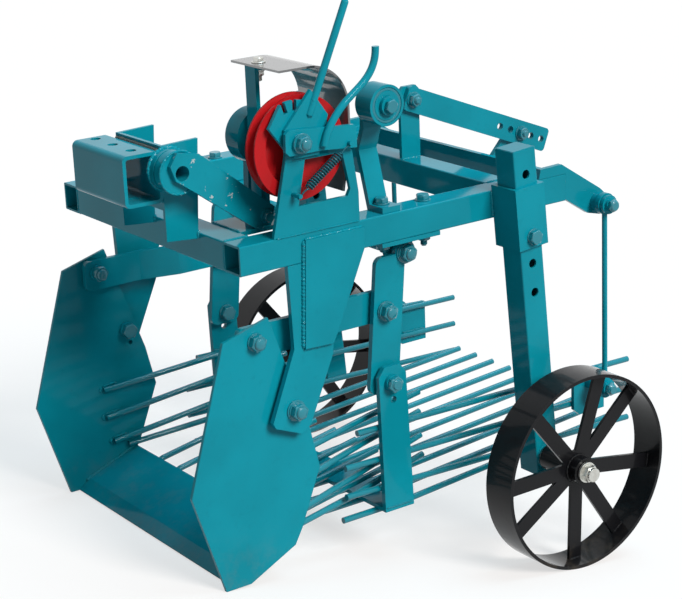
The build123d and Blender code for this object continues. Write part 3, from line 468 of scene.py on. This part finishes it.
def outward(x, y, z, hand=1):
    """A place whose local Z points across the machine, out to the given hand."""
    aim = Matrix.Rotation(math.pi / 2 * hand, 4, "Y")
    return Matrix.Translation(at(x * hand, y, z)) @ aim @ Matrix.Rotation(0.35, 4, "Z")


def inward(x, y, z, hand=1):
    """A place whose local Z points to the machine's middle from the given hand."""
    aim = Matrix.Rotation(-math.pi / 2 * hand, 4, "Y")
    return Matrix.Translation(at(x * hand, y, z)) @ aim @ Matrix.Rotation(0.2, 4, "Z")


def upward(x, y, z, down=False):
    """A place whose local Z points up, or down, square to the rails."""
    turn = way(0, 0, -1 if down else 1).to_track_quat("Z", "Y").to_matrix().to_4x4()
    return Matrix.Translation(at(x, y, z)) @ turn


def circle(x, centre, radius):
    """Points round an axis that runs across the machine."""
    steps = 40
    angles = [2 * math.pi * i / steps for i in range(steps)]
    return [(x, centre[0] + radius * math.cos(a), centre[1] + radius * math.sin(a)) for a in angles]


# settings


class DiggerPaint(bpy.types.PropertyGroup):
    """Colours and wear of the digger's finishes"""

    teal: FloatVectorProperty(
        name="Frame colour", description="Gloss paint of the frame", subtype="COLOR",
        default=(0.003, 0.262, 0.330),
    )
    black: FloatVectorProperty(
        name="Wheel colour", description="Gloss paint of the wheels and the guard", subtype="COLOR",
        default=(0.0045, 0.0045, 0.0055),
    )
    red: FloatVectorProperty(
        name="Pulley colour", description="Gloss paint of the pulley", subtype="COLOR",
        default=(0.50, 0.012, 0.015),
    )
    zinc: FloatVectorProperty(
        name="Zinc colour", description="Plating of the wheel axles and the guard's bolt",
        subtype="COLOR", default=(0.62, 0.62, 0.58),
    )
    spring: FloatVectorProperty(
        name="Spring colour", description="Painted spring wire", subtype="COLOR",
        default=(0.02, 0.12, 0.15),
    )
    dust: FloatProperty(
        name="Dust", description="Share of soil dust low on the machine", subtype="FACTOR",
        default=0.15, min=0, max=1,
    )


class DiggerFasteners(bpy.types.PropertyGroup):
    """Sizes of bolts, nuts and washers"""

    pivot_flats: FloatProperty(
        name="Pivot nut", description="Width across the pivot nuts' flats", default=21.0 * MM,
        unit="LENGTH",
    )
    pivot_high: FloatProperty(
        name="Pivot nut height", description="Height of the pivot nuts", default=9.5 * MM,
        unit="LENGTH",
    )
    washer: FloatProperty(
        name="Washer radius", description="Radius of the pivot washers", default=14.5 * MM,
        unit="LENGTH",
    )
    rail_flats: FloatProperty(
        name="Rail bolt", description="Width across the rail bolts' flats", default=17.0 * MM,
        unit="LENGTH",
    )


class DiggerSpring(bpy.types.PropertyGroup):
    """Return spring of the latch"""

    turns: IntProperty(name="Turns", description="Turns of the coil", default=17, min=4)
    radius: FloatProperty(
        name="Coil radius", description="From the axis to the wire's middle", default=5.4 * MM,
        unit="LENGTH",
    )
    wire: FloatProperty(
        name="Wire radius", description="Half of the wire's thickness", default=1.15 * MM,
        unit="LENGTH",
    )


class DiggerWelds(bpy.types.PropertyGroup):
    """Weld beads"""

    bead: FloatProperty(
        name="Bead radius", description="Radius of the usual weld bead", default=2.0 * MM,
        unit="LENGTH",
    )


class DiggerStage(bpy.types.PropertyGroup):
    """Floor, light and camera"""

    floor: FloatVectorProperty(
        name="Floor colour", description="Colour of the floor", subtype="COLOR",
        default=(0.36, 0.36, 0.36),
    )
    sun: FloatProperty(name="Sun", description="Strength of the soft sun", default=3.0, min=0)
    sky: FloatProperty(name="Sky", description="Strength of the plain sky", default=0.18, min=0)
    overhead: FloatProperty(
        name="Overhead", description="Strength of the cool light from above", default=1.6, min=0,
    )
    lens: FloatProperty(
        name="Lens", description="Focal length of the camera in millimetres", default=100.18,
    )


# operators


class DIGGER_OT_paint(bpy.types.Operator):
    """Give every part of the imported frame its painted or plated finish"""

    bl_idname = "digger.paint"
    bl_label = "Paint"

    def execute(self, context):
        p = context.scene.digger_paint
        # rods and grate welds get the frame paint at 0.8: a darker copy, painted shade
        shaded_rod_teal = [c * 0.8 for c in p.teal]
        # nuts, bolt heads and the bearing ring get the frame paint at three quarters: a darker copy,
        # painted shade for their recesses
        shaded_nut_teal = [c * 0.75 for c in p.teal]
        gloss_paint("teal_gloss", p.teal, p.dust, 0.10, 0.78)
        gloss_paint("teal_chipped", p.teal, p.dust, 0.10, 0.655, wear=0.8)
        gloss_paint("teal_rods", shaded_rod_teal, p.dust, 0.10, 0.80, coat_ior=1.4)
        gloss_paint("teal_nuts", shaded_nut_teal, 0.0, 0.10, 0.74, shine=0.2, coat_ior=1.45, wear=0.9)
        gloss_paint("black_gloss", p.black, p.dust, 0.06, 0.82, shine=0.1, coat_ior=1.16, wear=0.08)
        gloss_paint("guard_gloss", p.black, 0.0, 0.10, 0.90, shine=1.0, coat_ior=2.0, wear=0.1)
        gloss_paint("red_gloss", p.red, 0.0, 0.10, 0.80, wear=0.1)
        bare_metal("zinc_plate", p.zinc, 0.24, 0.35)
        bare_metal("burnt_weld", (0.05, 0.07, 0.07), 0.6, 0.5, 0.8)
        bare_metal("brown_seal", (0.10, 0.05, 0.03), 0.6, 0.3)
        gloss_paint("spring_paint", p.spring, 0.0, 0.10, 0.80)
        special = {
            "drive_pulley": "red_gloss", "belt_guard": "guard_gloss", "wheel_left": "black_gloss",
            "wheel_right": "black_gloss", "wheel_axle_left": "zinc_plate",
            "wheel_axle_right": "zinc_plate", "grate_rods": "teal_rods", "knife_rods": "teal_rods",
            "hitch_brace": "teal_chipped",
        }
        for name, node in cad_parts.items():
            material = paint(special.get(name, "teal_gloss"))
            if not node.material_slots:
                node.data.materials.append(material)
            for held in node.material_slots:
                held.link = "OBJECT"
                held.material = material
        return {"FINISHED"}


class DIGGER_OT_pivots(bpy.types.Operator):
    """Put nuts, washers and threaded ends on every pivot of the shaking linkage"""

    bl_idname = "digger.pivots"
    bl_label = "Pivot nuts"

    def execute(self, context):
        f = context.scene.digger_fasteners
        flats, high, wide = f.pivot_flats / MM, f.pivot_high / MM, f.washer / MM
        pin = 8.0
        shaft = 10.0
        end = (pin, 4.0)
        short_end = (pin, 3.0)
        frame_nuts = Piece("knife_pivot_nuts")
        knife_nuts = Piece("link_front_nuts")
        rocker_nuts = Piece("rocker_nuts")
        grate_nuts = Piece("hanger_foot_nuts")
        shaft_nuts = Piece("rear_shaft_nuts")
        for s in HANDS.values():
            place = outward(RAIL_OUT, *KNIFE_PIVOT, s)
            washers = ((pin, wide, 2.5), (pin, wide - 2, 2.0))
            frame_nuts.fastener(place, washers, flats, high, nut=True, end=end)
            frame_nuts.fastener(inward(KNIFE_PIN_IN, *KNIFE_PIVOT, s), (), flats, 9.0)
            place = outward(LINK_OUT, *LINK_FRONT, s)
            knife_nuts.fastener(place, ((pin, wide - 2, 2.5),), flats, high, nut=True, end=end)
            place = inward(LINK_PIN_IN, *LINK_FRONT, s)
            knife_nuts.fastener(place, (), flats, high, nut=True, end=end)
            place = outward(STRAP_OUT, *LINK_REAR, s)
            washers = ((pin, wide, 2.5), (pin, wide - 1, 2.5))
            rocker_nuts.fastener(place, washers, flats, high, nut=True, end=end)
            place = inward(STRAP_PIN_IN, *LINK_REAR, s)
            rocker_nuts.fastener(place, (), flats, high, nut=True, end=end)
            place = outward(GRATE_PIN_OUT, *GRATE_PIVOT, s)
            rocker_nuts.fastener(place, (), flats, high - 2, nut=True, end=short_end)
            # rocker's own pivot: washers on the shaft's end, then its nut
            place = outward(STRAP_OUT, *ROCKER_PIVOT, s)
            washers = ((shaft, 15.5, 2.5), (shaft, 13.5, 2.0))
            rocker_nuts.fastener(place, washers, 22.0, 8.5, nut=True, end=end)
            rocker_nuts.washer(inward(ROCKER_BUSH_IN, *ROCKER_PIVOT, s), 0, shaft, 15.0, 4.0)
            place = inward(GRATE_PIN_IN, *GRATE_PIVOT, s)
            rocker_nuts.fastener(place, ((pin, wide - 2, 2.5),), flats, 9.0)
            place = outward(HANGER_PIN_END, *HANGER_FOOT, s)
            grate_nuts.fastener(place, (), 17.0, 7.5, nut=True, end=short_end)
            place = outward(REAR_SHAFT_END, *HANGER_TOP, s)
            shaft_nuts.fastener(place, (), 17.0, 6.0, nut=True, end=(pin, 2.5))
        riders = (
            (frame_nuts, "frame"), (knife_nuts, "knife_unit"), (rocker_nuts, "rocker_unit"),
            (grate_nuts, "grate_unit"), (shaft_nuts, "frame"),
        )
        for piece, body in riders:
            piece.finish(paint("teal_nuts"), body, "teal_paint")
        return {"FINISHED"}


class DIGGER_OT_frame_bolts(bpy.types.Operator):
    """Put the bolts on the rails, sleeves, posts, levers and hitch"""

    bl_idname = "digger.frame_bolts"
    bl_label = "Frame bolts"

    def execute(self, context):
        flats = context.scene.digger_fasteners.rail_flats / MM
        front, rear = 246.0, 316.0
        roller_foot = 8.0
        bracket_under = -46.0
        bolts = Piece("frame_bolts")
        for s in HANDS.values():
            for y in (front, rear):
                base = roller_foot if (y == front and s > 0) else 0.0
                bolts.fastener(upward(RAIL_BOLT * s, y, base), ((5.5, 11, 2),), flats, 7.0)
            for y, long in ((front, 5.0), (rear, 9.0)):
                place = upward(RAIL_BOLT * s, y, bracket_under, down=True)
                bolts.fastener(place, ((5.0, 10, 1.6),), flats, 8.5, nut=True, end=(5.0, long, 1.5))
            # sleeve bolt that holds the wheel post
            place = outward(SLEEVE_OUT, POST_Y + POST_LEAN * 62, -62, s)
            bolts.fastener(place, ((6, 11.5, 1.5),), 19, 7.5)
        # adjuster bar on the centre post, and on the rear shaft's crank
        place = outward(11, *BAR_BOLT)
        bolts.fastener(place, ((5.5, 12, 2),), 17, 8.5, nut=True, end=(5.5, 4.0, 1.5))
        bolts.fastener(inward(-3, *BAR_BOLT), (), 17, 7)
        place = outward(11, *CRANK_END)
        bolts.fastener(place, ((5.5, 11, 2),), 17, 8.5, nut=True, end=(5.5, 3.0, 1.5))
        bolts.fastener(inward(-5, *CRANK_END), (), 17, 7)
        # levers' pivot
        place = outward(LEVER_OUT, *LEVER_PIVOT)
        bolts.fastener(place, ((8, 13.5, 2.0),), 19, 8, nut=True, end=(7.0, 4.0))
        # bolt at the brace's rear end
        bolts.fastener(outward(BRACE_OUT, *BRACE_BOLT), (), 13, 4.5)
        # roller's axle
        bolts.fastener(outward(ROLLER_PIN_OUT, *ROLLER_AXIS), (), 17, 5)
        bolts.fastener(inward(ROLLER_PIN_IN, *ROLLER_AXIS), ((6, 12, 2),), 19, 8, nut=True)
        bolts.finish(paint("teal_nuts"), "frame", "teal_paint")
        return {"FINISHED"}


class DIGGER_OT_guard_bolt(bpy.types.Operator):
    """Put the plated bolt that holds the belt guard on its post"""

    bl_idname = "digger.guard_bolt"
    bl_label = "Guard bolt"

    def execute(self, context):
        x, y = 160, 95
        guard_top, tab_under = 215.5, 206.5
        piece = Piece("guard_bolt")
        piece.fastener(upward(x, y, guard_top), ((4, 9.5, 1.6),), 13, 5.5)
        place = upward(x, y, tab_under, down=True)
        piece.fastener(place, ((4, 9, 1.6),), 13, 6.5, nut=True, end=(4.0, 8.0, 1.25))
        piece.finish(paint("zinc_plate"), "frame", "zinc")
        return {"FINISHED"}


class DIGGER_OT_spring(bpy.types.Operator):
    """Wind the latch's return spring in place of its plain CAD rod"""

    bl_idname = "digger.spring"
    bl_label = "Latch spring"

    def execute(self, context):
        p = context.scene.digger_spring
        foot, head = at(SPRING_X, *SPRING_FOOT), at(SPRING_X, *SPRING_HEAD)
        along = (head - foot).normalized()
        side = Vector((1, 0, 0))
        other = along.cross(side)
        low, high = 15.0 * MM, (head - foot).length - 20.0 * MM
        steps = 26
        total = p.turns * steps
        hook = 3.4

        def hooked(end, aim, angles):
            return [
                end - side * 2.0 * MM + aim * hook * MM * math.cos(a) + other * hook * MM * math.sin(a)
                for a in angles
            ]

        path = hooked(foot, along, (2.6, 1.9, 1.2))
        path += [foot + along * 6 * MM, foot + along * 10 * MM]
        for i in range(total + 1):
            a = 2 * math.pi * i / steps
            grow = min(1.0, i / steps, (total - i) / steps)
            r = p.radius * (0.25 + 0.75 * grow)
            reach = (side * math.cos(a) + other * math.sin(a)) * r
            path.append(foot + along * (low + (high - low) * i / total) + reach)
        path += [head - along * 14 * MM, head - along * 7 * MM]
        path += hooked(head, -along, (1.2, 1.9, 2.6))
        piece = Piece("latch_coil")
        rows = []
        up = other
        for i, middle in enumerate(path):
            ahead = (path[min(i + 1, len(path) - 1)] - path[max(i - 1, 0)]).normalized()
            up = (up - ahead * up.dot(ahead)).normalized()
            out = ahead.cross(up)
            row = []
            for k in range(8):
                turn = 2 * math.pi * k / 8
                spot = middle + (up * math.cos(turn) + out * math.sin(turn)) * p.wire
                row.append(piece.mesh.verts.new(spot))
            rows.append(row)
        piece.skin(rows)
        piece.finish(paint("spring_paint"), "frame", "spring_steel", replaces=("latch_spring",))
        return {"FINISHED"}


class DIGGER_OT_roller_bearing(bpy.types.Operator):
    """Fit the bearing's ring and seal in the guide roller's open face"""

    bl_idname = "digger.roller_bearing"
    bl_label = "Roller bearing"

    def execute(self, context):
        place = outward(ROLLER_FACE, *ROLLER_AXIS)
        ring = Piece("roller_bearing")
        profile = ((19.7, 0), (23.8, 0), (23.8, 1.9), (23.2, 2.4), (20.4, 2.4), (19.7, 1.9))
        ring.rings(place, profile, sides=48, closed=True)
        ring.finish(paint("teal_nuts"), "roller_unit", "teal_paint")
        seal = Piece("roller_seal")
        profile = ((16.4, 0), (19.6, 0), (19.6, 1.1), (18.9, 1.5), (17.0, 1.5), (16.4, 1.1))
        seal.rings(place, profile, sides=48, closed=True)
        seal.finish(paint("brown_seal"), "roller_unit", "teal_paint")
        return {"FINISHED"}


class DIGGER_OT_pulley_hub(bpy.types.Operator):
    """Put the pulley's two collars on its shaft"""

    bl_idname = "digger.pulley_hub"
    bl_label = "Pulley hub"

    def execute(self, context):
        piece = Piece("pulley_nut")
        profile = ((10.1, 0), (15, 0), (15, 2.2), (14.4, 2.6), (10.1, 2.6))
        piece.rings(outward(PULLEY_OUT, *DRIVE_AXIS), profile, sides=40, closed=True)
        profile = ((10.1, 0), (17, 0), (17, 3.4), (16.2, 4), (10.1, 4))
        piece.rings(inward(PULLEY_IN, *DRIVE_AXIS), profile, sides=40, closed=True)
        piece.finish(paint("red_gloss"), "pulley_unit", "red_paint")
        return {"FINISHED"}


class DIGGER_OT_welds(bpy.types.Operator):
    """Lay the weld beads of the frame, knife, grate and wheels"""

    bl_idname = "digger.welds"
    bl_label = "Welds"

    def execute(self, context):
        size = context.scene.digger_welds.bead / MM
        self.frame_welds(size)
        self.knife_welds(size)
        self.grate_welds(size)
        self.wheel_welds(size)
        return {"FINISHED"}

    def frame_welds(self, size):
        w = Piece("frame_welds")
        under = -TUBE + 1
        seed = 10
        for s in HANDS.values():
            # crossbeams and the rear crossbar on the rail
            for y in (0.0, MID_BEAM):
                near, far, back = y + 1, y + TUBE - 1, y + TUBE
                w.seam((RAIL_IN, near, 0), (RAIL_IN, far, 0), size * 0.8, seed, s)
                w.seam((RAIL_IN, back, -1), (RAIL_IN, back, under), size, seed + 1, s)
                w.seam((RAIL_IN, near, -TUBE), (RAIL_IN, far, -TUBE), size * 0.8, seed + 2, s)
            w.seam((RAIL_IN, MID_BEAM, -1), (RAIL_IN, MID_BEAM, under), size, seed + 3, s)
            w.seam((RAIL_IN, 0, -3), (RAIL_IN, 0, -TUBE + 3), size * 0.5, seed + 4, s)
            w.seam((RAIL_IN, 547, -1), (RAIL_IN, 547, under), size, seed + 5, s)
            # gusset on the rail and the knife leg
            x = GUSSET_BEAD
            w.seam((x, 98.4, -10), (x, 90.4, -156), size * 1.5, seed + 6, s)
            w.seam((x, 100, -8.6), (x, 193, -8.6), size * 1.2, seed + 7, s)
            w.seam((x, 92, -157.6), (x, 135, -159.6), size * 1.1, seed + 8, s)
            w.seam((x, 137, -159), (x, 143.6, -147), size * 1.1, seed + 9, s)
            w.seam((ARM_MIDDLE, 74, -40.4), (ARM_MIDDLE, 149, -40.4), size, seed + 10, s)
            # sleeve on the rail
            for off, own in ((-27.4, 11), (27.4, 12)):
                y = POST_Y + off
                top, foot = (SLEEVE_BEAD, y, -1), (SLEEVE_BEAD, y + POST_LEAN * 39, -39)
                w.seam(top, foot, size, seed + own, s)
            # rear arm on the rail
            w.seam((ARM_MIDDLE, 507, 0.4), (ARM_MIDDLE, 549, 0.4), size, seed + 13, s)
            w.seam((ARM_MIDDLE, 555.4, -2), (ARM_MIDDLE, 555.4, -37), size, seed + 14, s)
            # rocker bracket's upright on its base
            for x in (198.4, 189.6):
                w.seam((x, 258, -46.4), (x, 310, -46.4), size * 0.8, seed + 15, s)
            # axle on the post
            w.bead(circle(s * 286.4, WHEEL, 17.4), size, seed + 16, closed=True)
            seed += 20
        # lever bracket on the rail
        w.seam((240.4, 57, 0.2), (240.4, 189, 0.2), size * 0.6, 101)
        w.seam((233.6, 57, 0.4), (233.6, 189, 0.4), size * 0.9, 102)
        # hitch tube on its channel, and the channel on the crossbeam
        w.seam((24, -48.4, 50.5), (138, -48.4, 50.5), size * 1.2, 104)
        for x, own in ((22, 105), (27, 106), (135, 107), (140, 108)):
            w.bead([(x, -0.5, -7.6), (x, -0.5, 0.3), (x, 1.5, 2.5)], size * 1.1, own)
        # both ends of the hitch bush
        w.bead(circle(140.4, BUSH, 28.4), size * 1.2, 109, closed=True)
        w.bead(circle(169.8, BUSH, 28.2), size * 0.8, 110, closed=True)
        # brace on the tie plate, and the plate on the crossbeam
        w.seam((178.4, 67, 0.5), (178.4, 89, 0.5), size, 111)
        w.seam((108, 40.4, 0.2), (177, 40.4, 0.2), size, 121)
        # guard post
        w.seam((146, 82.6, 0.4), (168, 82.6, 0.4), size, 112)
        w.seam((146, 89.4, 0.4), (168, 89.4, 0.4), size, 113)
        # centre post
        w.seam((3.4, 442, 0.4), (3.4, 475, 0.4), size, 114)
        w.seam((-3.4, 442, 0.4), (-3.4, 475, 0.4), size, 115)
        w.seam((-2, 440.6, 0.4), (2, 440.6, 0.4), size, 116)
        # shaft housing's foot
        w.seam((114.6, 89, 0.4), (114.6, 121, 0.4), size, 117)
        w.seam((127.4, 89, 0.4), (127.4, 121, 0.4), size, 118)
        # rods of the levers
        w.seam((247, 111, 153), (248, 121, 178), size * 1.1, 119)
        w.seam((252.5, 123, 112), (252.8, 130, 125), size * 1.1, 120)
        w.finish(paint("teal_gloss"), "frame", "teal_paint")
        # the bead along the hitch tube's rear top edge is left rough and dark
        w = Piece("hitch_weld")
        w.seam((23, -48.6, 117), (139, -48.6, 117), size * 1.6, 130)
        w.seam((30, -49.5, 118.6), (128, -49.5, 118.6), size * 1.1, 131)
        w.finish(paint("burnt_weld"), "frame", "teal_paint")

    def knife_welds(self, size):
        w = Piece("knife_welds")
        x = KNIFE_BEAD
        for s in HANDS.values():
            w.seam((x, *on_blade(2, -0.4)), (x, *on_blade(112, -0.4)), size * 1.1, 201, s)
            w.seam((x, *on_blade(16, 7.4)), (x, *on_blade(112, 7.4)), size * 1.2, 202, s)
            for n, (y, z) in enumerate(KNIFE_SIDE_RODS):
                end = [(s * x, y - 3, z + 4.5), (s * x, y - 5, z), (s * x, y - 3, z - 4.5)]
                w.bead(end, size * 1.2, 203 + n)
                w.seam((x, y, z + 5), (x, y + 24, z + 7.4), size, 210 + n, s)
                w.seam((x, y, z - 5), (x, y + 24, z - 2.4), size, 220 + n, s)
        start, end = on_blade(74, -1), on_blade(111, -1)
        for i in range(KNIFE_RODS):
            for off in (-4.4, 4.4):
                x = (i - 3) * KNIFE_ROD_PITCH + off
                w.seam((x, *start), (x, *end), size, 230 + i)
        w.finish(paint("teal_gloss"), "knife_unit", "teal_paint")

    def grate_welds(self, size):
        w = Piece("grate_welds")
        x = GRATE_BEAD
        front, back = 228, 274
        for s in HANDS.values():
            w.seam((218, front, -431.6), (218, back, -431.6), size, 301, s)
            w.seam((226, front, -431.8), (226, back, -431.8), size * 0.8, 302, s)
            for n, (z0, z1, y0) in enumerate(GRATE_SIDE_RODS):
                for y in (232.0, 268.0):
                    z = z0 + (z1 - z0) * (y - y0) / (GRATE_BACK - y0)
                    w.seam((x, y - 9, z + 4.4), (x, y + 1, z + 4.3), size, 303 + n, s)
                if n < 2:
                    z = z0 + (z1 - z0) * (615 - y0) / (GRATE_BACK - y0)
                    w.seam((x, 596, z + 4.6), (x, 640, z + 4.0), size, 320 + n, s)
        for i in range(GRATE_RODS):
            for off in (-4.0, 4.0):
                x = (i - 4.5) * GRATE_ROD_PITCH + off
                w.seam((x, front, -438.6), (x, back, -438.6), size * 0.8, 330 + i)
        w.finish(paint("teal_rods"), "grate_unit", "teal_paint")

    def wheel_welds(self, size):
        rim = 139.2
        for hand, s in HANDS.items():
            w = Piece("wheel_welds_" + hand)
            for x in (344.6, 350.4):
                w.bead(circle(s * x, WHEEL, 20.2), size, 401, closed=True)
            for k, turn in enumerate(SPOKE_ANGLES):
                angle = math.radians(turn)
                y = WHEEL[0] + rim * math.cos(angle)
                z = WHEEL[1] + rim * math.sin(angle)
                run = Vector((-math.sin(angle), math.cos(angle))) * 10.5
                for x in (344.7, 350.3):
                    start, end = (x, y - run.x, z - run.y), (x, y + run.x, z + run.y)
                    w.seam(start, end, size * 0.8, 410 + k, s)
            w.finish(paint("black_gloss"), "wheel_" + hand + "_unit", "black_paint")


class DIGGER_OT_stage(bpy.types.Operator):
    """Lay the pale floor and set the soft light and the camera"""

    bl_idname = "digger.stage"
    bl_label = "Stage"

    def execute(self, context):
        p = context.scene.digger_stage
        self.lay_floor(context.scene, p.floor)
        self.set_sky(context.scene, p.sky)
        self.hang_sun(context.scene, "soft_sun", p.sun, 25, SUN_FROM)
        self.hang_sun(context.scene, "soft_overhead", p.overhead, 40, OVERHEAD_FROM, OVERHEAD_COLOUR)
        self.set_camera(context.scene, p.lens)
        context.scene.view_settings.view_transform = "Standard"
        return {"FINISHED"}

    def lay_floor(self, scene, colour):
        """A wide disc that looks near white but throws less light on the machine."""
        mesh = bmesh.new()
        bmesh.ops.create_circle(mesh, cap_ends=True, segments=96, radius=60.0)
        data = bpy.data.meshes.new("floor")
        mesh.to_mesh(data)
        mesh.free()
        floor = bpy.data.objects.new("floor", data)
        scene.collection.objects.link(floor)
        f = Nodes(bpy.data.materials.new("pale_floor"))
        plain = f.node("ShaderNodeBsdfDiffuse", {}, {"Color": (*colour, 1.0)})
        shown = f.node("ShaderNodeBsdfDiffuse", {}, {"Color": (0.36, 0.33, 0.31, 1.0)})
        lift = f.node("ShaderNodeEmission", {}, {"Color": (1, 1, 1, 1), "Strength": 0.64})
        bright = f.node("ShaderNodeAddShader", {}, {0: shown, 1: lift})
        surface = f.node("ShaderNodeMixShader", {}, {0: f.sight(), 1: plain, 2: bright})
        f.node("ShaderNodeOutputMaterial", {}, {"Surface": surface})
        floor.data.materials.append(f.owner)

    def set_sky(self, scene, strength):
        """A plain sky: white where it is seen, and dim as a light."""
        w = Nodes(bpy.data.worlds.new("plain_sky"))
        scene.world = w.owner
        dim = w.node("ShaderNodeBackground", {}, {"Color": (1, 1, 1, 1), "Strength": strength})
        white = w.node("ShaderNodeBackground", {}, {"Color": (1, 1, 1, 1), "Strength": 1.0})
        surface = w.node("ShaderNodeMixShader", {}, {0: w.sight(), 1: dim, 2: white})
        w.node("ShaderNodeOutputWorld", {}, {"Surface": surface})

    def hang_sun(self, scene, name, strength, spread, source, colour=(1, 1, 1)):
        """A sun that shines from a direction, soft by its spread in degrees."""
        lamp = bpy.data.lights.new(name, "SUN")
        lamp.energy = strength
        lamp.angle = math.radians(spread)
        lamp.color = colour
        sun = bpy.data.objects.new(name, lamp)
        sun.rotation_mode = "QUATERNION"
        sun.rotation_quaternion = Vector(source).to_track_quat("Z", "Y")
        scene.collection.objects.link(sun)

    def set_camera(self, scene, lens):
        """The camera at the photo's angle."""
        data = bpy.data.cameras.new("camera")
        data.lens = lens
        data.sensor_width = 36.0
        camera = bpy.data.objects.new("camera", data)
        right = Vector(CAMERA_RIGHT).normalized()
        back = Vector(CAMERA_BACK).normalized()
        turn = Matrix((right, back.cross(right), back)).transposed().to_4x4()
        camera.matrix_world = Matrix.Translation(Vector(CAMERA_AT) * MM) @ turn
        scene.collection.objects.link(camera)
        scene.camera = camera


class DIGGER_PT_panel(bpy.types.Panel):
    """Lists the digger's pieces and their settings"""

    bl_idname = "DIGGER_PT_panel"
    bl_label = "Potato digger"
    bl_space_type = "VIEW_3D"
    bl_region_type = "UI"
    bl_category = "Digger"

    def draw(self, context):
        for name in GROUPS:
            box = self.layout.box()
            group = getattr(context.scene, name)
            for key in group.__annotations__:
                box.prop(group, key)
        for name in STEPS:
            self.layout.operator("digger." + name)


GROUPS = {
    "digger_paint": DiggerPaint, "digger_fasteners": DiggerFasteners, "digger_spring": DiggerSpring,
    "digger_welds": DiggerWelds, "digger_stage": DiggerStage,
}
STEPS = (
    "paint", "pivots", "frame_bolts", "guard_bolt", "spring", "roller_bearing", "pulley_hub",
    "welds", "stage",
)
CLASSES = (
    *GROUPS.values(), DIGGER_OT_paint, DIGGER_OT_pivots, DIGGER_OT_frame_bolts, DIGGER_OT_guard_bolt,
    DIGGER_OT_spring, DIGGER_OT_roller_bearing, DIGGER_OT_pulley_hub, DIGGER_OT_welds, DIGGER_OT_stage,
    DIGGER_PT_panel,
)


def register():
    for kind in CLASSES:
        bpy.utils.register_class(kind)
    for name, kind in GROUPS.items():
        setattr(bpy.types.Scene, name, PointerProperty(type=kind))


def unregister():
    for name in GROUPS:
        delattr(bpy.types.Scene, name)
    for kind in reversed(CLASSES):
        bpy.utils.unregister_class(kind)


def main():
    register()
    for name in STEPS:
        getattr(bpy.ops.digger, name)()


if __name__ == "__main__":
    main()
